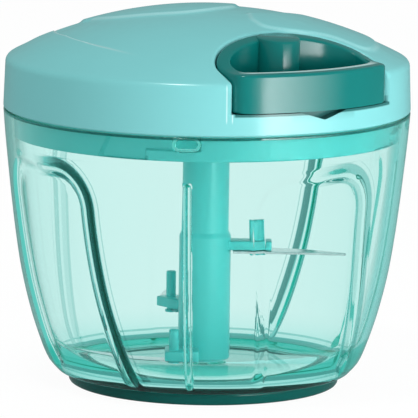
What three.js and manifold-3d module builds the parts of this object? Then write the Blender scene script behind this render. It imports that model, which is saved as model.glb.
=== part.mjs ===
// Pull-string food chopper: a clear bowl, a bladed column that turns in it, and a lid that holds a
// spring-loaded cord reel and a finger loop. Millimetres, +Z up, origin at the centre of the foot ring.
// An azimuth of 0 points along -Y, to the front, and grows towards +X.
import * as THREE from 'three';
import { mergeVertices } from 'three/addons/utils/BufferGeometryUtils.js';
import Module from 'manifold-3d';

const wasm = await Module();
wasm.setup();

// General fits
const clearance = 0.3;
const overrun = 8;
const weldDistance = 1e-4;
const fineSteps = 60;
const roundSteps = 48;
const reelSteps = 24;
const smallSteps = 16;
const tinySteps = 10;
const bendSteps = 3;
const degree = Math.PI / 180;

// Bowl
const rimHeight = 89.6;
const rimRadius = 66;
const bowlWall = 2.2;
const wallHeightShares = [0.0513, 0.0893, 0.165, 0.268, 0.402, 0.536, 0.68, 0.76, 0.81, 0.85, 0.885, 1];
const wallRadiusShares = [0.726, 0.77, 0.813, 0.858, 0.902, 0.932, 0.957, 0.969, 0.976, 0.982, 0.987, 1];
const bowlLedgeHeight = 4;
const bowlLedgeInset = 20.8;
const bowlLedgeRadius = rimRadius - bowlLedgeInset;
const footRingWidth = 4.6;
const footRingInset = 1.3;
const footOuterRadius = bowlLedgeRadius - footRingInset;
const bowlFootRadius = footOuterRadius - footRingWidth - clearance;
const bowlFootHeight = 1.6;
const floorHeight = 4.6;
const floorFlatInset = 3;
const floorFlatRadius = bowlFootRadius - floorFlatInset;
const floorBendInset = 18.5;
const floorBendRadius = rimRadius - floorBendInset;
const floorBendTop = 16;
const floorBossRadius = 7;
const floorBossHeight = 5.8;

// Arch-shaped panels pressed into the bowl's wall
const archCount = 4;
const archAzimuth = 33.9 * degree;
const archTopInset = 11.1;
const archTop = rimHeight - archTopInset;
const archHalfWidth = 21;
const archSpread = 2.8;
const archCorner = 12.5;
const archDepth = 1.25;
const archBand = 5;
const archLeanInset = 11.5;
const archLeanTop = archTop - archLeanInset;
const archLeanHeight = 59;
const archLean = 7.6 * degree;
const archLeanPower = 1.5;
const archFootBlend = 4;

// Ribs inside the wall, and the lugs of the lid's twist lock
const ribAzimuth = -5.3 * degree;
const ribWidth = 2;
const ribStand = 1.2;
const ribTopInset = 15.6;
const ribTop = rimHeight - ribTopInset;
const lugAzimuth = -5.7 * degree;
const lugLength = 8.4;
const lugHeight = 4;
const lugTopInset = 0.4;
const lugTop = rimHeight - lugTopInset;

// Pin that the column turns on
const pivotRadius = 2;
const pivotSeatHeight = 2.2;
const pivotLength = 12;

// Blade column
const columnRadius = 8.4;
const columnTopInset = 5.4;
const columnTop = rimHeight - columnTopInset;
const columnNeckLength = 35.7;
const columnShoulder = columnTop - columnNeckLength;
const columnNeckRadius = 7.6;
const columnNeckChamfer = 1.4;
const columnFootChamfer = 2;
const driveWingRadius = 5.8;
const driveWingWidth = 3.4;
const driveWingHeight = 4.7;
const driveWingTop = columnTop + driveWingHeight;
const driveCoreRadius = 3.2;
const armSocket = 3;
const postRadius = 1.6;
const stakeRadius = 1.3;
const stakeFoot = 0.8;
const armHalfWidth = 3.6;
const armPostOut = 16.4;
const armNotch = 1;
const upperArmReach = 21.6;
const upperArmDrop = 4.6;
const upperArmUnderside = columnShoulder - upperArmDrop;
const upperArmThickness = 2.9;
const upperPostHeight = 9.6;
const middleArmAzimuth = -138 * degree;
const middleArmReach = 19.6;
const middleArmDrop = 21.3;
const middleArmUnderside = upperArmUnderside - middleArmDrop;
const middleArmThickness = 3.2;
const middlePostHeight = 11.6;
const lowerArmShift = 7;
const lowerArmHalfWidth = 5.5;
const lowerArmReach = 17;
const lowerArmRise = 2.5;
const lowerArmUnderside = floorBossHeight + lowerArmRise;
const lowerArmThickness = 4.4;
const lowerPostOut = 13.4;
const lowerPostShift = 9.6;
const lowerPostHeight = 11.2;

// Blades: the edge leads, the spine trails, and the tip stays inside the bowl's wall
const bladeThickness = 0.8;
const bladeRoot = 9;
const bladeTipInset = 20.4;
const bladeTip = rimRadius - bladeTipInset;
const bladeSpine = 3.4;
const bladeSweep = 1;
const upperBladeWidth = 11;
const middleBladeWidth = 12;
const middleBladeTurn = 112 * degree;
const lowerBladeRoot = 2.4;
const lowerBladeTipInset = 22.8;
const lowerBladeTip = rimRadius - lowerBladeTipInset;
const lowerBladeSpine = 3.6;
const lowerBladeWidth = 12.4;
const lowerBladeSweep = 8.2;

const arms = [
  {
    name: 'upper', azimuth: Math.PI / 2, shift: 0, halfWidth: armHalfWidth,
    reach: upperArmReach, underside: upperArmUnderside, thickness: upperArmThickness,
    postOut: armPostOut, postShift: 0, postHeight: upperPostHeight, notched: true,
    turn: 0, root: bladeRoot, tip: bladeTip, spine: -bladeSpine, width: upperBladeWidth,
    sweep: bladeSweep,
  },
  {
    name: 'middle', azimuth: middleArmAzimuth, shift: 0, halfWidth: armHalfWidth,
    reach: middleArmReach, underside: middleArmUnderside, thickness: middleArmThickness,
    postOut: armPostOut, postShift: 0, postHeight: middlePostHeight, notched: false,
    turn: middleBladeTurn, root: bladeRoot, tip: bladeTip, spine: -bladeSpine,
    width: middleBladeWidth, sweep: bladeSweep,
  },
  {
    name: 'lower', azimuth: 0, shift: -lowerArmShift, halfWidth: lowerArmHalfWidth,
    reach: lowerArmReach, underside: lowerArmUnderside, thickness: lowerArmThickness,
    postOut: lowerPostOut, postShift: -lowerPostShift, postHeight: lowerPostHeight, notched: false,
    turn: Math.PI, root: lowerBladeRoot, tip: lowerBladeTip, spine: lowerBladeSpine,
    width: lowerBladeWidth, sweep: lowerBladeSweep,
  },
];
// Where a blade's straight edge ends and how far its bend reaches, as shares of the tip's distance
const edgeStraightShare = 0.66;
const edgeBendShare = 0.94;

// Seal between rim and lid
const sealInset = 1.2;
const sealWidth = 2.2;
const sealOuterRadius = rimRadius - sealInset;
const sealInnerRadius = sealOuterRadius - sealWidth;
const sealThickness = 1.5;
const sealBottom = rimHeight + clearance;
const sealTop = sealBottom + sealThickness;

// Lid base: plate, skirt and the grooves of the twist lock
const plateUnderside = sealTop + clearance;
const plateThickness = 1.5;
const plateHoleSlack = 0.4;
const skirtGap = 1.5;
const skirtOuterRadius = rimRadius - bowlWall - skirtGap;
const skirtWall = 2.2;
const skirtHeight = 10.1;
const skirtBottom = plateUnderside - skirtHeight;
const grooveDepth = 1.4;
const unlockTurn = 18 * degree;
const grooveMouthSlack = 2.2 * degree;
const grooveEndSlack = 0.35 * degree;

// Lid cover
const coverGap = 0.5;
const coverBottom = rimHeight + coverGap;
const coverWall = 2.2;
const coverWallHeight = 14.5;
const coverDraft = 0.5;
const coverShoulderRadius = rimRadius - coverDraft;
const coverShoulderHeight = coverBottom + coverWallHeight;
const coverBendInset = 0.1;
const coverBendRise = 1.7;
const domeEdgeInset = 2.6;
const domeEdgeRadius = rimRadius - domeEdgeInset;
const domeEdgeRise = 2.618;
const domeEdgeHeight = coverShoulderHeight + domeEdgeRise;
const domeRise = 15.182;
const domeTop = domeEdgeHeight + domeRise;
const domeCurve = (domeEdgeRadius ** 2 + domeRise ** 2) / (2 * domeRise);
const coverRebateRadius = sealOuterRadius + clearance;
const coverRebateHeight = plateUnderside + clearance;
const coverInnerRadius = rimRadius - coverWall;
const plateRadius = coverInnerRadius - clearance;
const domeShares = [0, 0.15, 0.31, 0.47, 0.63, 0.78, 0.92];
const roofShares = [0, 0.31, 0.63, 0.9];
const padRise = 0.8;
const lowPadRise = 0.4;
const padDepth = 1.1;
const padSteps = 2;
const padBandInnerInset = 17;
const padBandOuterInset = 6;
const padBandInner = rimRadius - padBandInnerInset;
const padBandOuter = rimRadius - padBandOuterInset;
const padBandStart = -112 * degree;
const padBandEnd = -28 * degree;
const swirlShares = [
  [-0.72, 0.0], [-0.564, -0.038], [-0.43, -0.117], [-0.332, -0.188], [-0.235, -0.208],
  [-0.138, -0.206], [0.008, -0.161], [0.106, -0.085], [0.16, 0.03], [0.15, 0.2], [0.05, 0.36],
  [-0.12, 0.47], [-0.34, 0.5], [-0.58, 0.42], [-0.76, 0.24],
];
const crescentShares = [
  [0.198, -0.098], [0.198, -0.152], [0.208, -0.236], [0.227, -0.285], [0.261, -0.339],
  [0.323, -0.356], [0.42, -0.335], [0.6, -0.265], [0.76, -0.27], [0.83, -0.1], [0.8, 0.2],
  [0.62, 0.48], [0.5, 0.4], [0.42, 0.16], [0.28, -0.02],
];

// Finger loop, its recess in the cover, and the cord's guide: drawn with the pull along -Y,
// then turned to the pull's azimuth
const pullAzimuth = 34.4 * degree;
const loopFrontDepth = 16;
const loopBackCentre = rimRadius - loopFrontDepth;
const loopBackDepth = 16.2;
const loopHalfWidth = 28.8;
const loopUndersideRise = 7.2;
const loopUnderside = coverBottom + loopUndersideRise;
const loopBarThickness = 5.6;
const loopWall = 4.5;
const loopPostInset = 10.5;
const loopPostOut = loopBackCentre - loopPostInset;
const loopPostRadius = 7;
const recessGap = 0.45;
const recessWall = 2;
const notchHalfWidth = 8.9;
const notchDrop = 2.9;
const notchBottom = loopUnderside - notchDrop;
const notchDepth = 3.8;
const notchBacking = 1.3;
const guideBoreRadius = 1.3;
const guideRadius = 2.6;
const guideFlangeRadius = 3.6;
const guideFlangeThickness = 0.8;

// Cord, one piece in reality: wound part, lead to the guide, pull cord and knot
const cordRadius = 0.75;
const cordSides = 6;
const reelFlangeShare = 0.33333333;
const reelFlangeRadius = rimRadius * reelFlangeShare;
const windingDepth = 4;
const windingRadius = reelFlangeRadius - windingDepth;
const windingTurns = 4.25;
const windingPitch = 1.95;
const windingSteps = 24;
const knotRadius = 2.1;
const knotStandoff = 0.9;
const knotOut = loopPostOut + knotStandoff;
// The lead's distances from the turning winding and from the pull cord
const leadStart = 8.6;
const leadEndGap = 1;

// Reel, its spring and its cover
const reelFlangeThickness = 1.2;
const reelCoreWall = 2;
const reelHubRadius = 6;
const reelWeb = 1.3;
const reelFloor = 4.4;
const springCupWall = 1.6;
const springCupHeight = 5.2;
const springStrip = 0.5;
const springTurns = 3.5;
const springSteps = 18;
const arborRadius = 5.5;
const reelCoverBrim = 1;
const reelCoverRadius = reelFlangeRadius + reelCoverBrim;
const reelCoverThickness = 1.8;
const reelPostStandoff = 4;
const reelPostOut = reelFlangeRadius + reelPostStandoff;
const reelPostRadius = 3;
const reelEarRadius = 4.2;
const axleRadius = 2.5;
const axleHeadRadius = 4.5;
const axleHeadThickness = 1.2;

// Drive socket under the reel
const socketWeb = 1.8;
const socketBoreRadius = 6.2;
const socketRibInner = 3.6;
const socketRibWidth = 3.4;

// Small screws
const screwRadius = 1.2;
const screwHeadRadius = 2.6;
const screwHeadThickness = 1.4;
const screwLength = 9;
const lidScrewInset = 16;
const lidScrewOut = rimRadius - lidScrewInset;
const lidScrewAzimuths = [104.4 * degree, -35.6 * degree, 189.4 * degree, -120.6 * degree];
const lidBossRadius = 3.4;

// A closed mesh as a solid, with faces turned outwards
function solid(geometry) {
  const plain = geometry.index ? geometry.toNonIndexed() : geometry.clone();
  plain.deleteAttribute('normal');
  plain.deleteAttribute('uv');
  const merged = mergeVertices(plain, weldDistance);
  const places = merged.attributes.position.array;
  const index = merged.index.array;
  const corners = [];
  let volume = 0;
  for (let i = 0; i < index.length; i += 3) {
    const [a, b, c] = [index[i], index[i + 1], index[i + 2]];
    if (a === b || b === c || c === a) continue;
    corners.push(a, b, c);
    const [p, q, r] = [a, b, c].map((k) => new THREE.Vector3().fromArray(places, 3 * k));
    volume += p.dot(q.cross(r));
  }
  if (volume < 0) corners.reverse();
  return new wasm.Manifold(new wasm.Mesh({
    numProp: 3,
    vertProperties: new Float32Array(places),
    triVerts: new Uint32Array(corners),
  }));
}

function toGeometry(body) {
  const { vertProperties, triVerts } = body.getMesh();
  const geometry = new THREE.BufferGeometry();
  geometry.setAttribute('position', new THREE.BufferAttribute(new Float32Array(vertProperties), 3));
  geometry.setIndex(new THREE.BufferAttribute(new Uint32Array(triVerts), 1));
  geometry.computeVertexNormals();
  return geometry;
}

// Solid of revolution about Z from [radius, height] points
function lathe(points, steps = roundSteps) {
  const profile = points.map(([radius, height]) => new THREE.Vector2(radius, height));
  return new THREE.LatheGeometry(profile, steps).rotateX(Math.PI / 2);
}

// Closed ring of revolution: the profile returns to its first point
function ring(points, steps = roundSteps) {
  return solid(lathe([...points, points[0]], steps));
}

function rod(radius, bottom, top, steps = smallSteps) {
  return solid(lathe([[0, bottom], [radius, bottom], [radius, top], [0, top]], steps));
}

function prism(shape, bottom, top, curveSegments = smallSteps) {
  const depth = top - bottom;
  const geometry = new THREE.ExtrudeGeometry(shape, { depth, bevelEnabled: false, curveSegments });
  return solid(geometry.translate(0, 0, bottom));
}

function moved(body, x, y, z = 0) {
  return body.translate([x, y, z]);
}

function polar(radius, azimuth) {
  return new THREE.Vector2(radius * Math.sin(azimuth), -radius * Math.cos(azimuth));
}

// Turns a body about Z, ccw seen from above
function turned(body, angle) {
  return body.rotate([0, 0, angle / degree]);
}

function joined(bodies) {
  return bodies.reduce((sum, body) => sum.add(body));
}

// Points of a quadratic bend, without its first point
function bend([r0, z0], [r1, z1], [r2, z2], steps = bendSteps) {
  const curve = new THREE.QuadraticBezierCurve(
    new THREE.Vector2(r0, z0), new THREE.Vector2(r1, z1), new THREE.Vector2(r2, z2),
  );
  return curve.getPoints(steps).slice(1).map((p) => [p.x, p.y]);
}

// A sector of a ring between two azimuths
function sector(innerRadius, outerRadius, from, to, bottom, top) {
  const shape = new THREE.Shape();
  const quarter = Math.PI / 2;
  shape.absarc(0, 0, outerRadius, from - quarter, to - quarter, false);
  shape.absarc(0, 0, innerRadius, to - quarter, from - quarter, true);
  return prism(shape, bottom, top, bendSteps * 2);
}

// A round-ended bar lying along X, pushed out along Y
function pill(length, height, from, to) {
  const shape = new THREE.Shape();
  const end = height / 2;
  const run = length / 2 - end;
  shape.absarc(run, 0, end, -Math.PI / 2, Math.PI / 2, false);
  shape.absarc(-run, 0, end, Math.PI / 2, 1.5 * Math.PI, false);
  return prism(shape, from, to, bendSteps * 2).rotate([90, 0, 0]);
}

function material(color, roughness, metalness = 0) {
  return new THREE.MeshStandardMaterial({ color, roughness, metalness });
}

const object = new THREE.Group();

function addPiece(name, body, look) {
  const mesh = new THREE.Mesh(toGeometry(body), look);
  mesh.name = name;
  object.add(mesh);
}

// Bowl wall: outer radius at a height, from the shares
function bowlRadius(height) {
  const heights = [bowlLedgeHeight, ...wallHeightShares.map((share) => share * rimHeight)];
  const radii = [bowlLedgeRadius, ...wallRadiusShares.map((share) => share * rimRadius)];
  const above = heights.findIndex((h) => h >= height);
  const i = above < 0 ? heights.length - 1 : Math.max(above, 1);
  const part = (height - heights[i - 1]) / (heights[i] - heights[i - 1]);
  return radii[i - 1] + part * (radii[i] - radii[i - 1]);
}

// How far the wall is pressed in at an azimuth and height: a round-topped outline, leaning near its foot
function pressedIn(azimuth, height) {
  const drop = Math.max(archLeanTop - height, 0) / archLeanHeight;
  const step = 2 * Math.PI / archCount;
  const middle = archAzimuth + archLean * drop ** archLeanPower;
  const off = azimuth - middle - step * Math.round((azimuth - middle) / step);
  const halfWidth = archHalfWidth + archSpread * (1 - (archLeanTop - height) / archLeanHeight);
  const across = Math.abs(off) * bowlRadius(height) - (halfWidth - archCorner);
  const above = height - (archTop - archCorner);
  const outside = Math.hypot(Math.max(across, 0), Math.max(above, 0));
  const inside = archCorner - outside - Math.min(Math.max(across, above), 0);
  const foot = THREE.MathUtils.smoothstep(height, floorHeight, floorHeight + archFootBlend);
  return archDepth * THREE.MathUtils.smoothstep(inside, 0, archBand) * foot;
}

function bowl() {
  const heights = wallHeightShares.map((share) => share * rimHeight);
  const outer = heights.map((height) => [bowlRadius(height), height]);
  const inner = heights
    .filter((height) => height > floorBendTop)
    .map((height) => [bowlRadius(height) - bowlWall, height])
    .reverse();
  const bendFrom = [bowlRadius(floorBendTop) - bowlWall, floorBendTop];
  const profile = [
    [0, bowlFootHeight],
    [bowlFootRadius, bowlFootHeight],
    [bowlFootRadius, bowlLedgeHeight],
    [bowlLedgeRadius, bowlLedgeHeight],
    ...outer,
    ...inner,
    bendFrom,
    ...bend(bendFrom, [floorBendRadius, floorHeight], [floorFlatRadius, floorHeight]),
    [floorBossRadius, floorHeight],
    [floorBossRadius, floorBossHeight],
    [pivotRadius + clearance, floorBossHeight],
    [pivotRadius + clearance, pivotSeatHeight],
    [0, pivotSeatHeight],
  ];
  const geometry = lathe(profile, fineSteps);
  const place = geometry.attributes.position;
  for (let i = 0; i < place.count; i += 1) {
    const [x, y, z] = [place.getX(i), place.getY(i), place.getZ(i)];
    const radius = Math.hypot(x, y);
    if (radius > floorFlatRadius) {
      const share = 1 - pressedIn(Math.atan2(x, -y), z) / radius;
      place.setXY(i, x * share, y * share);
    }
  }
  const copies = Array.from({ length: archCount }, (_, k) => k * 2 * Math.PI / archCount);
  const ribs = copies.map((turn) => turned(rib(), ribAzimuth + turn));
  const lugs = copies.map((turn) => turned(lug(), lugAzimuth + turn));
  return joined([solid(geometry), ...ribs, ...lugs]);
}

// Slim rib standing on the wall's inner face, drawn at azimuth 0
function rib() {
  const heights = [floorBendTop, ...wallHeightShares.map((share) => share * rimHeight)]
    .filter((height) => height >= floorBendTop && height < ribTop);
  const rows = [...new Set(heights), ribTop].sort((a, b) => a - b);
  const shape = new THREE.Shape();
  const half = bowlWall / 2;
  rows.forEach((height, i) => {
    const out = bowlRadius(height) - bowlWall - ribStand;
    if (i === 0) shape.moveTo(out, height);
    else shape.lineTo(out, height);
  });
  rows.reverse().forEach((height) => shape.lineTo(bowlRadius(height) - half, height));
  const body = prism(shape, -ribWidth / 2, ribWidth / 2);
  return body.rotate([90, 0, 0]).rotate([0, 0, -90]);
}

// Lug of the twist lock, drawn at azimuth 0
function lug() {
  const from = skirtOuterRadius - grooveDepth + clearance;
  const to = rimRadius - bowlWall / 2;
  return moved(pill(lugLength, lugHeight, from, to), 0, 0, lugTop - lugHeight / 2);
}

// Blade column
function armBody(arm) {
  const shape = new THREE.Shape();
  shape.moveTo(arm.shift - arm.halfWidth, -armSocket);
  shape.lineTo(arm.shift + arm.halfWidth, -armSocket);
  shape.lineTo(arm.shift + arm.halfWidth, -arm.reach);
  shape.lineTo(arm.shift - arm.halfWidth, -arm.reach);
  const bottom = arm.underside;
  let body = prism(shape, bottom, bottom + arm.thickness);
  if (arm.notched) {
    const start = arm.postOut + postRadius;
    const cut = new THREE.Shape();
    cut.moveTo(-arm.halfWidth - overrun, -start);
    cut.lineTo(arm.halfWidth + overrun, -start);
    cut.lineTo(arm.halfWidth + overrun, -start - armNotch);
    cut.lineTo(-arm.halfWidth - overrun, -start - armNotch);
    body = body.subtract(prism(cut, bottom + armNotch, bottom + arm.thickness + overrun));
  }
  const middle = bottom + arm.thickness / 2;
  const post = rod(postRadius, middle, bottom + arm.postHeight, tinySteps);
  const stakeBottom = bottom - clearance - bladeThickness - clearance - stakeFoot;
  const stake = rod(stakeRadius, stakeBottom, middle, tinySteps);
  const foot = rod(postRadius + clearance, stakeBottom, stakeBottom + stakeFoot, tinySteps);
  const upright = moved(joined([post, stake, foot]), arm.postShift, -arm.postOut);
  return turned(body.add(upright), arm.azimuth);
}

function bladeHolder() {
  const bottom = floorBossHeight + clearance;
  const column = solid(lathe([
    [0, bottom],
    [columnRadius - columnFootChamfer, bottom],
    [columnRadius, bottom + columnFootChamfer],
    [columnRadius, columnShoulder],
    [columnNeckRadius, columnShoulder + columnNeckChamfer],
    [columnNeckRadius, columnTop],
    [0, columnTop],
  ], reelSteps));
  const core = rod(driveCoreRadius, columnTop - columnNeckChamfer, driveWingTop);
  const wing = new THREE.Shape();
  wing.moveTo(-driveWingRadius, -driveWingWidth / 2);
  wing.lineTo(driveWingRadius, -driveWingWidth / 2);
  wing.lineTo(driveWingRadius, driveWingWidth / 2);
  wing.lineTo(-driveWingRadius, driveWingWidth / 2);
  const wings = prism(wing, columnTop - columnNeckChamfer, driveWingTop);
  const boreTop = pivotSeatHeight + clearance + pivotLength + clearance;
  const bore = rod(pivotRadius + clearance, bottom - overrun, boreTop);
  return joined([column, core, wings, ...arms.map(armBody)]).subtract(bore);
}

// Flat blade under its arm: straight spine, round cutting edge, hole for the stake
function blade(arm) {
  const { root, tip, spine, width, sweep } = arm;
  const edge = spine + width;
  const shape = new THREE.Shape();
  shape.moveTo(root, spine);
  shape.quadraticCurveTo((root + tip) / 2, spine, tip, spine - sweep);
  shape.quadraticCurveTo(tip * edgeBendShare, edge, tip * edgeStraightShare, edge);
  shape.lineTo(root, edge);
  const top = arm.underside - clearance;
  const bottom = top - bladeThickness;
  const plate = turned(prism(shape, bottom, top, tinySteps), arm.turn);
  const hole = rod(stakeRadius + clearance, bottom - overrun, top + overrun, tinySteps);
  const stake = turned(moved(hole, arm.postShift, -arm.postOut), arm.azimuth);
  const column = rod(columnRadius + clearance, bottom - overrun, top + overrun, reelSteps);
  return plate.subtract(stake.add(column));
}

// Height of the plain dome at a radius
function domeHeight(radius) {
  return domeTop - domeCurve + Math.sqrt(domeCurve ** 2 - radius ** 2);
}

function domeRow(radii, rise) {
  return radii.map((radius) => [radius, domeHeight(radius) + rise]);
}

// Outer profile of the lid cover, from its lower edge up to the axis
function coverProfile() {
  const radii = domeShares.map((share) => share * rimRadius).reverse();
  const shoulder = [coverShoulderRadius, coverShoulderHeight];
  const corner = [coverShoulderRadius - coverBendInset, coverShoulderHeight + coverBendRise];
  return [
    [rimRadius, coverBottom],
    shoulder,
    ...bend(shoulder, corner, [domeEdgeRadius, domeEdgeHeight]),
    ...domeRow(radii, 0),
  ];
}

// Everything inside the cover's outer surface
function coverSolid() {
  return solid(lathe([[0, coverBottom], ...coverProfile()], roundSteps));
}

// A raised pad on the dome
function pad(shape, rise) {
  const radii = domeShares.map((share) => share * rimRadius);
  const shell = solid(lathe([...domeRow(radii, rise), ...domeRow(radii, -padDepth).reverse()], roundSteps));
  return prism(shape, coverShoulderHeight, domeTop + overrun, padSteps).intersect(shell);
}

function padShape(shares) {
  const shape = new THREE.Shape();
  const points = shares.map(([x, y]) => new THREE.Vector2(x * rimRadius, y * rimRadius));
  shape.moveTo(points[0].x, points[0].y);
  shape.splineThru(points.slice(1));
  return shape;
}

// Wedge along the cover's left edge that runs out to a point
function edgePadShape() {
  const shape = new THREE.Shape();
  const steps = tinySteps;
  for (let i = 0; i <= steps; i += 1) {
    const at = polar(padBandInner, padBandStart + (padBandEnd - padBandStart) * i / steps);
    if (i === 0) shape.moveTo(at.x, at.y);
    else shape.lineTo(at.x, at.y);
  }
  for (let i = 0; i <= steps; i += 1) {
    const share = i / steps;
    const radius = padBandInner + (padBandOuter - padBandInner) * Math.sqrt(share);
    const at = polar(radius, padBandEnd + (padBandStart - padBandEnd) * share);
    if (i > 0) shape.lineTo(at.x, at.y);
  }
  return shape;
}

// Plan of the finger loop, drawn with the pull along -Y: half an ellipse, straight sides, front arc
function loopShape(grow, frontRadius) {
  const halfWidth = loopHalfWidth + grow;
  const depth = loopBackDepth + grow;
  const reach = Math.asin(halfWidth / frontRadius);
  const shape = new THREE.Shape();
  shape.absellipse(0, -loopBackCentre, halfWidth, depth, 0, Math.PI, false, 0);
  shape.absarc(0, 0, frontRadius, -Math.PI / 2 - reach, -Math.PI / 2 + reach, false);
  return shape;
}

// A rod along the pull at the cord's height, from one distance out to another
function pullRod(radius, from, to, steps = tinySteps) {
  return moved(rod(radius, from, to, steps).rotate([90, 0, 0]), 0, 0, cordHeight);
}

const recessBack = loopBackCentre - loopBackDepth - recessGap;
const recessFloor = loopUnderside - clearance;
const reelBottom = plateUnderside + plateThickness + clearance;
const windingStart = reelBottom + reelFlangeThickness + clearance + cordRadius;
const cordHeight = windingStart + windingTurns * windingPitch;
const upperFlangeBottom = cordHeight + cordRadius + clearance;
const upperFlangeTop = upperFlangeBottom + reelFlangeThickness;
const cupTop = upperFlangeTop + springCupHeight;
const reelCoverBottom = cupTop + clearance;
const guideStart = recessBack - recessWall - clearance - guideFlangeThickness;
const pilotRadius = screwRadius + clearance;
const socketBottom = columnTop + clearance;
const socketTop = reelBottom - clearance;
const axleBottom = reelBottom + reelFloor + clearance;

function lidCover() {
  const outer = coverProfile();
  const innerEdge = coverShoulderRadius - coverWall;
  const roof = roofShares.map((share) => share * rimRadius);
  const shell = solid(lathe([
    ...domeRow(roof, -coverWall),
    [innerEdge, coverShoulderHeight - coverWall / 4],
    [coverInnerRadius, coverRebateHeight],
    [coverRebateRadius, coverRebateHeight],
    [coverRebateRadius, coverBottom],
    ...outer,
  ], roundSteps));
  const front = rimRadius + overrun;
  const top = domeTop + overrun;
  const whole = coverSolid();
  const walls = prism(loopShape(recessGap + recessWall, front), recessFloor - recessWall, top);
  const notchBack = rimRadius - notchDepth;
  const reach = Math.asin((notchHalfWidth + notchBacking) / rimRadius);
  const backing = sector(
    notchBack - notchBacking, coverInnerRadius + coverWall / 2, -reach, reach,
    reelBottom, recessFloor - recessWall / 2,
  );
  const notch = new THREE.Shape();
  notch.moveTo(0, notchBottom);
  notch.lineTo(notchHalfWidth, recessFloor);
  notch.lineTo(notchHalfWidth, recessFloor + overrun);
  notch.lineTo(-notchHalfWidth, recessFloor + overrun);
  notch.lineTo(-notchHalfWidth, recessFloor);
  const pocket = turned(walls.add(backing).intersect(whole), pullAzimuth);
  const cuts = joined([
    prism(loopShape(recessGap, front), recessFloor, top),
    prism(notch, notchBack, front).rotate([90, 0, 0]),
    pullRod(guideRadius + clearance, guideStart, recessBack + overrun),
  ]);
  const bosses = lidScrewAzimuths.map((azimuth) => {
    const at = polar(lidScrewOut, azimuth);
    const boss = rod(lidBossRadius, reelBottom, domeTop, tinySteps).translate([at.x, at.y, 0]);
    return boss.intersect(whole);
  });
  const pilots = lidScrewAzimuths.map((azimuth) => {
    const at = polar(lidScrewOut, azimuth);
    return moved(rod(pilotRadius, reelBottom - overrun, reelBottom + screwLength, tinySteps), at.x, at.y);
  });
  const pads = [
    pad(padShape(swirlShares), padRise),
    pad(padShape(crescentShares), lowPadRise),
    pad(edgePadShape(), padRise),
  ];
  const body = joined([shell, pocket, ...bosses, ...pads]);
  return body.subtract(turned(cuts, pullAzimuth)).subtract(joined(pilots));
}

function lidBase() {
  const plateTop = plateUnderside + plateThickness;
  const skirtInner = skirtOuterRadius - skirtWall;
  const hole = columnRadius + plateHoleSlack;
  const plate = ring([
    [hole, plateUnderside],
    [skirtInner, plateUnderside],
    [skirtInner, skirtBottom],
    [skirtOuterRadius, skirtBottom],
    [skirtOuterRadius, plateUnderside],
    [plateRadius, plateUnderside],
    [plateRadius, plateTop],
    [hole, plateTop],
  ], roundSteps);
  const floor = skirtOuterRadius - grooveDepth;
  const out = skirtOuterRadius + overrun;
  const lugHalf = lugLength / 2 / skirtOuterRadius;
  const mouth = lugAzimuth - unlockTurn;
  const mouthHalf = lugHalf + grooveMouthSlack;
  const low = lugTop - lugHeight - clearance;
  const high = lugTop + clearance;
  const grooves = Array.from({ length: archCount }, (_, k) => {
    const run = sector(floor, out, mouth - mouthHalf, lugAzimuth + lugHalf + grooveEndSlack, low, high);
    const way = sector(floor, out, mouth - mouthHalf, mouth + mouthHalf, skirtBottom - overrun, high);
    return turned(run.add(way), k * 2 * Math.PI / archCount);
  });
  const posts = reelPostPlaces().map((at) => {
    const top = reelCoverBottom - clearance;
    const post = rod(reelPostRadius, plateUnderside, top, tinySteps);
    const pilot = rod(pilotRadius, top - screwLength, top + overrun, tinySteps);
    return moved(post.subtract(pilot), at.x, at.y);
  });
  const holes = lidScrewAzimuths.map((azimuth) => {
    const at = polar(lidScrewOut, azimuth);
    return moved(rod(pilotRadius, plateUnderside - overrun, plateTop + overrun, tinySteps), at.x, at.y);
  });
  return joined([plate, ...posts]).subtract(joined([...grooves, ...holes]));
}

function reelPostPlaces() {
  return [1, 3, 5].map((k) => polar(reelPostOut, pullAzimuth + k * Math.PI / 3));
}

function pullHandle() {
  const opening = loopShape(-loopWall, rimRadius - loopBarThickness);
  const top = domeTop + overrun;
  const outline = prism(loopShape(0, rimRadius), loopUnderside, top);
  const frame = outline.subtract(prism(opening, loopUnderside - overrun, top));
  const post = moved(rod(loopPostRadius, loopUnderside, top), 0, -loopPostOut);
  const pocketRadius = knotRadius + clearance;
  const pocketTop = cordHeight + pocketRadius;
  const pocket = moved(rod(pocketRadius, loopUnderside - overrun, pocketTop, tinySteps), 0, -knotOut);
  const bore = pullRod(cordRadius + clearance, recessBack - overrun, knotOut);
  const body = frame.add(post).intersect(outline).intersect(coverSolid());
  return turned(body.subtract(pocket.add(bore)), pullAzimuth);
}

// A section carried along points; each section point is [sideways, upwards]
function sweep(points, section) {
  const up = new THREE.Vector3(0, 0, 1);
  const last = points.length - 1;
  const count = section.length;
  const places = [];
  points.forEach((point, i) => {
    const along = points[Math.min(i + 1, last)].clone().sub(points[Math.max(i - 1, 0)]).normalize();
    const side = new THREE.Vector3().crossVectors(along, up).normalize();
    const rise = new THREE.Vector3().crossVectors(side, along);
    section.forEach(([a, b]) => {
      places.push(...point.clone().addScaledVector(side, a).addScaledVector(rise, b).toArray());
    });
  });
  const index = [];
  for (let i = 0; i < last; i += 1) {
    for (let k = 0; k < count; k += 1) {
      const [a, b] = [i * count + k, i * count + (k + 1) % count];
      index.push(a, b, b + count, a, b + count, a + count);
    }
  }
  for (let k = 1; k < count - 1; k += 1) {
    index.push(0, k + 1, k, last * count, last * count + k, last * count + k + 1);
  }
  const geometry = new THREE.BufferGeometry();
  geometry.setAttribute('position', new THREE.Float32BufferAttribute(places, 3));
  geometry.setIndex(index);
  return geometry;
}

function cordSection() {
  return Array.from({ length: cordSides }, (_, k) => {
    const angle = 2 * Math.PI * k / cordSides;
    return [cordRadius * Math.cos(angle), cordRadius * Math.sin(angle)];
  });
}

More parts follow.
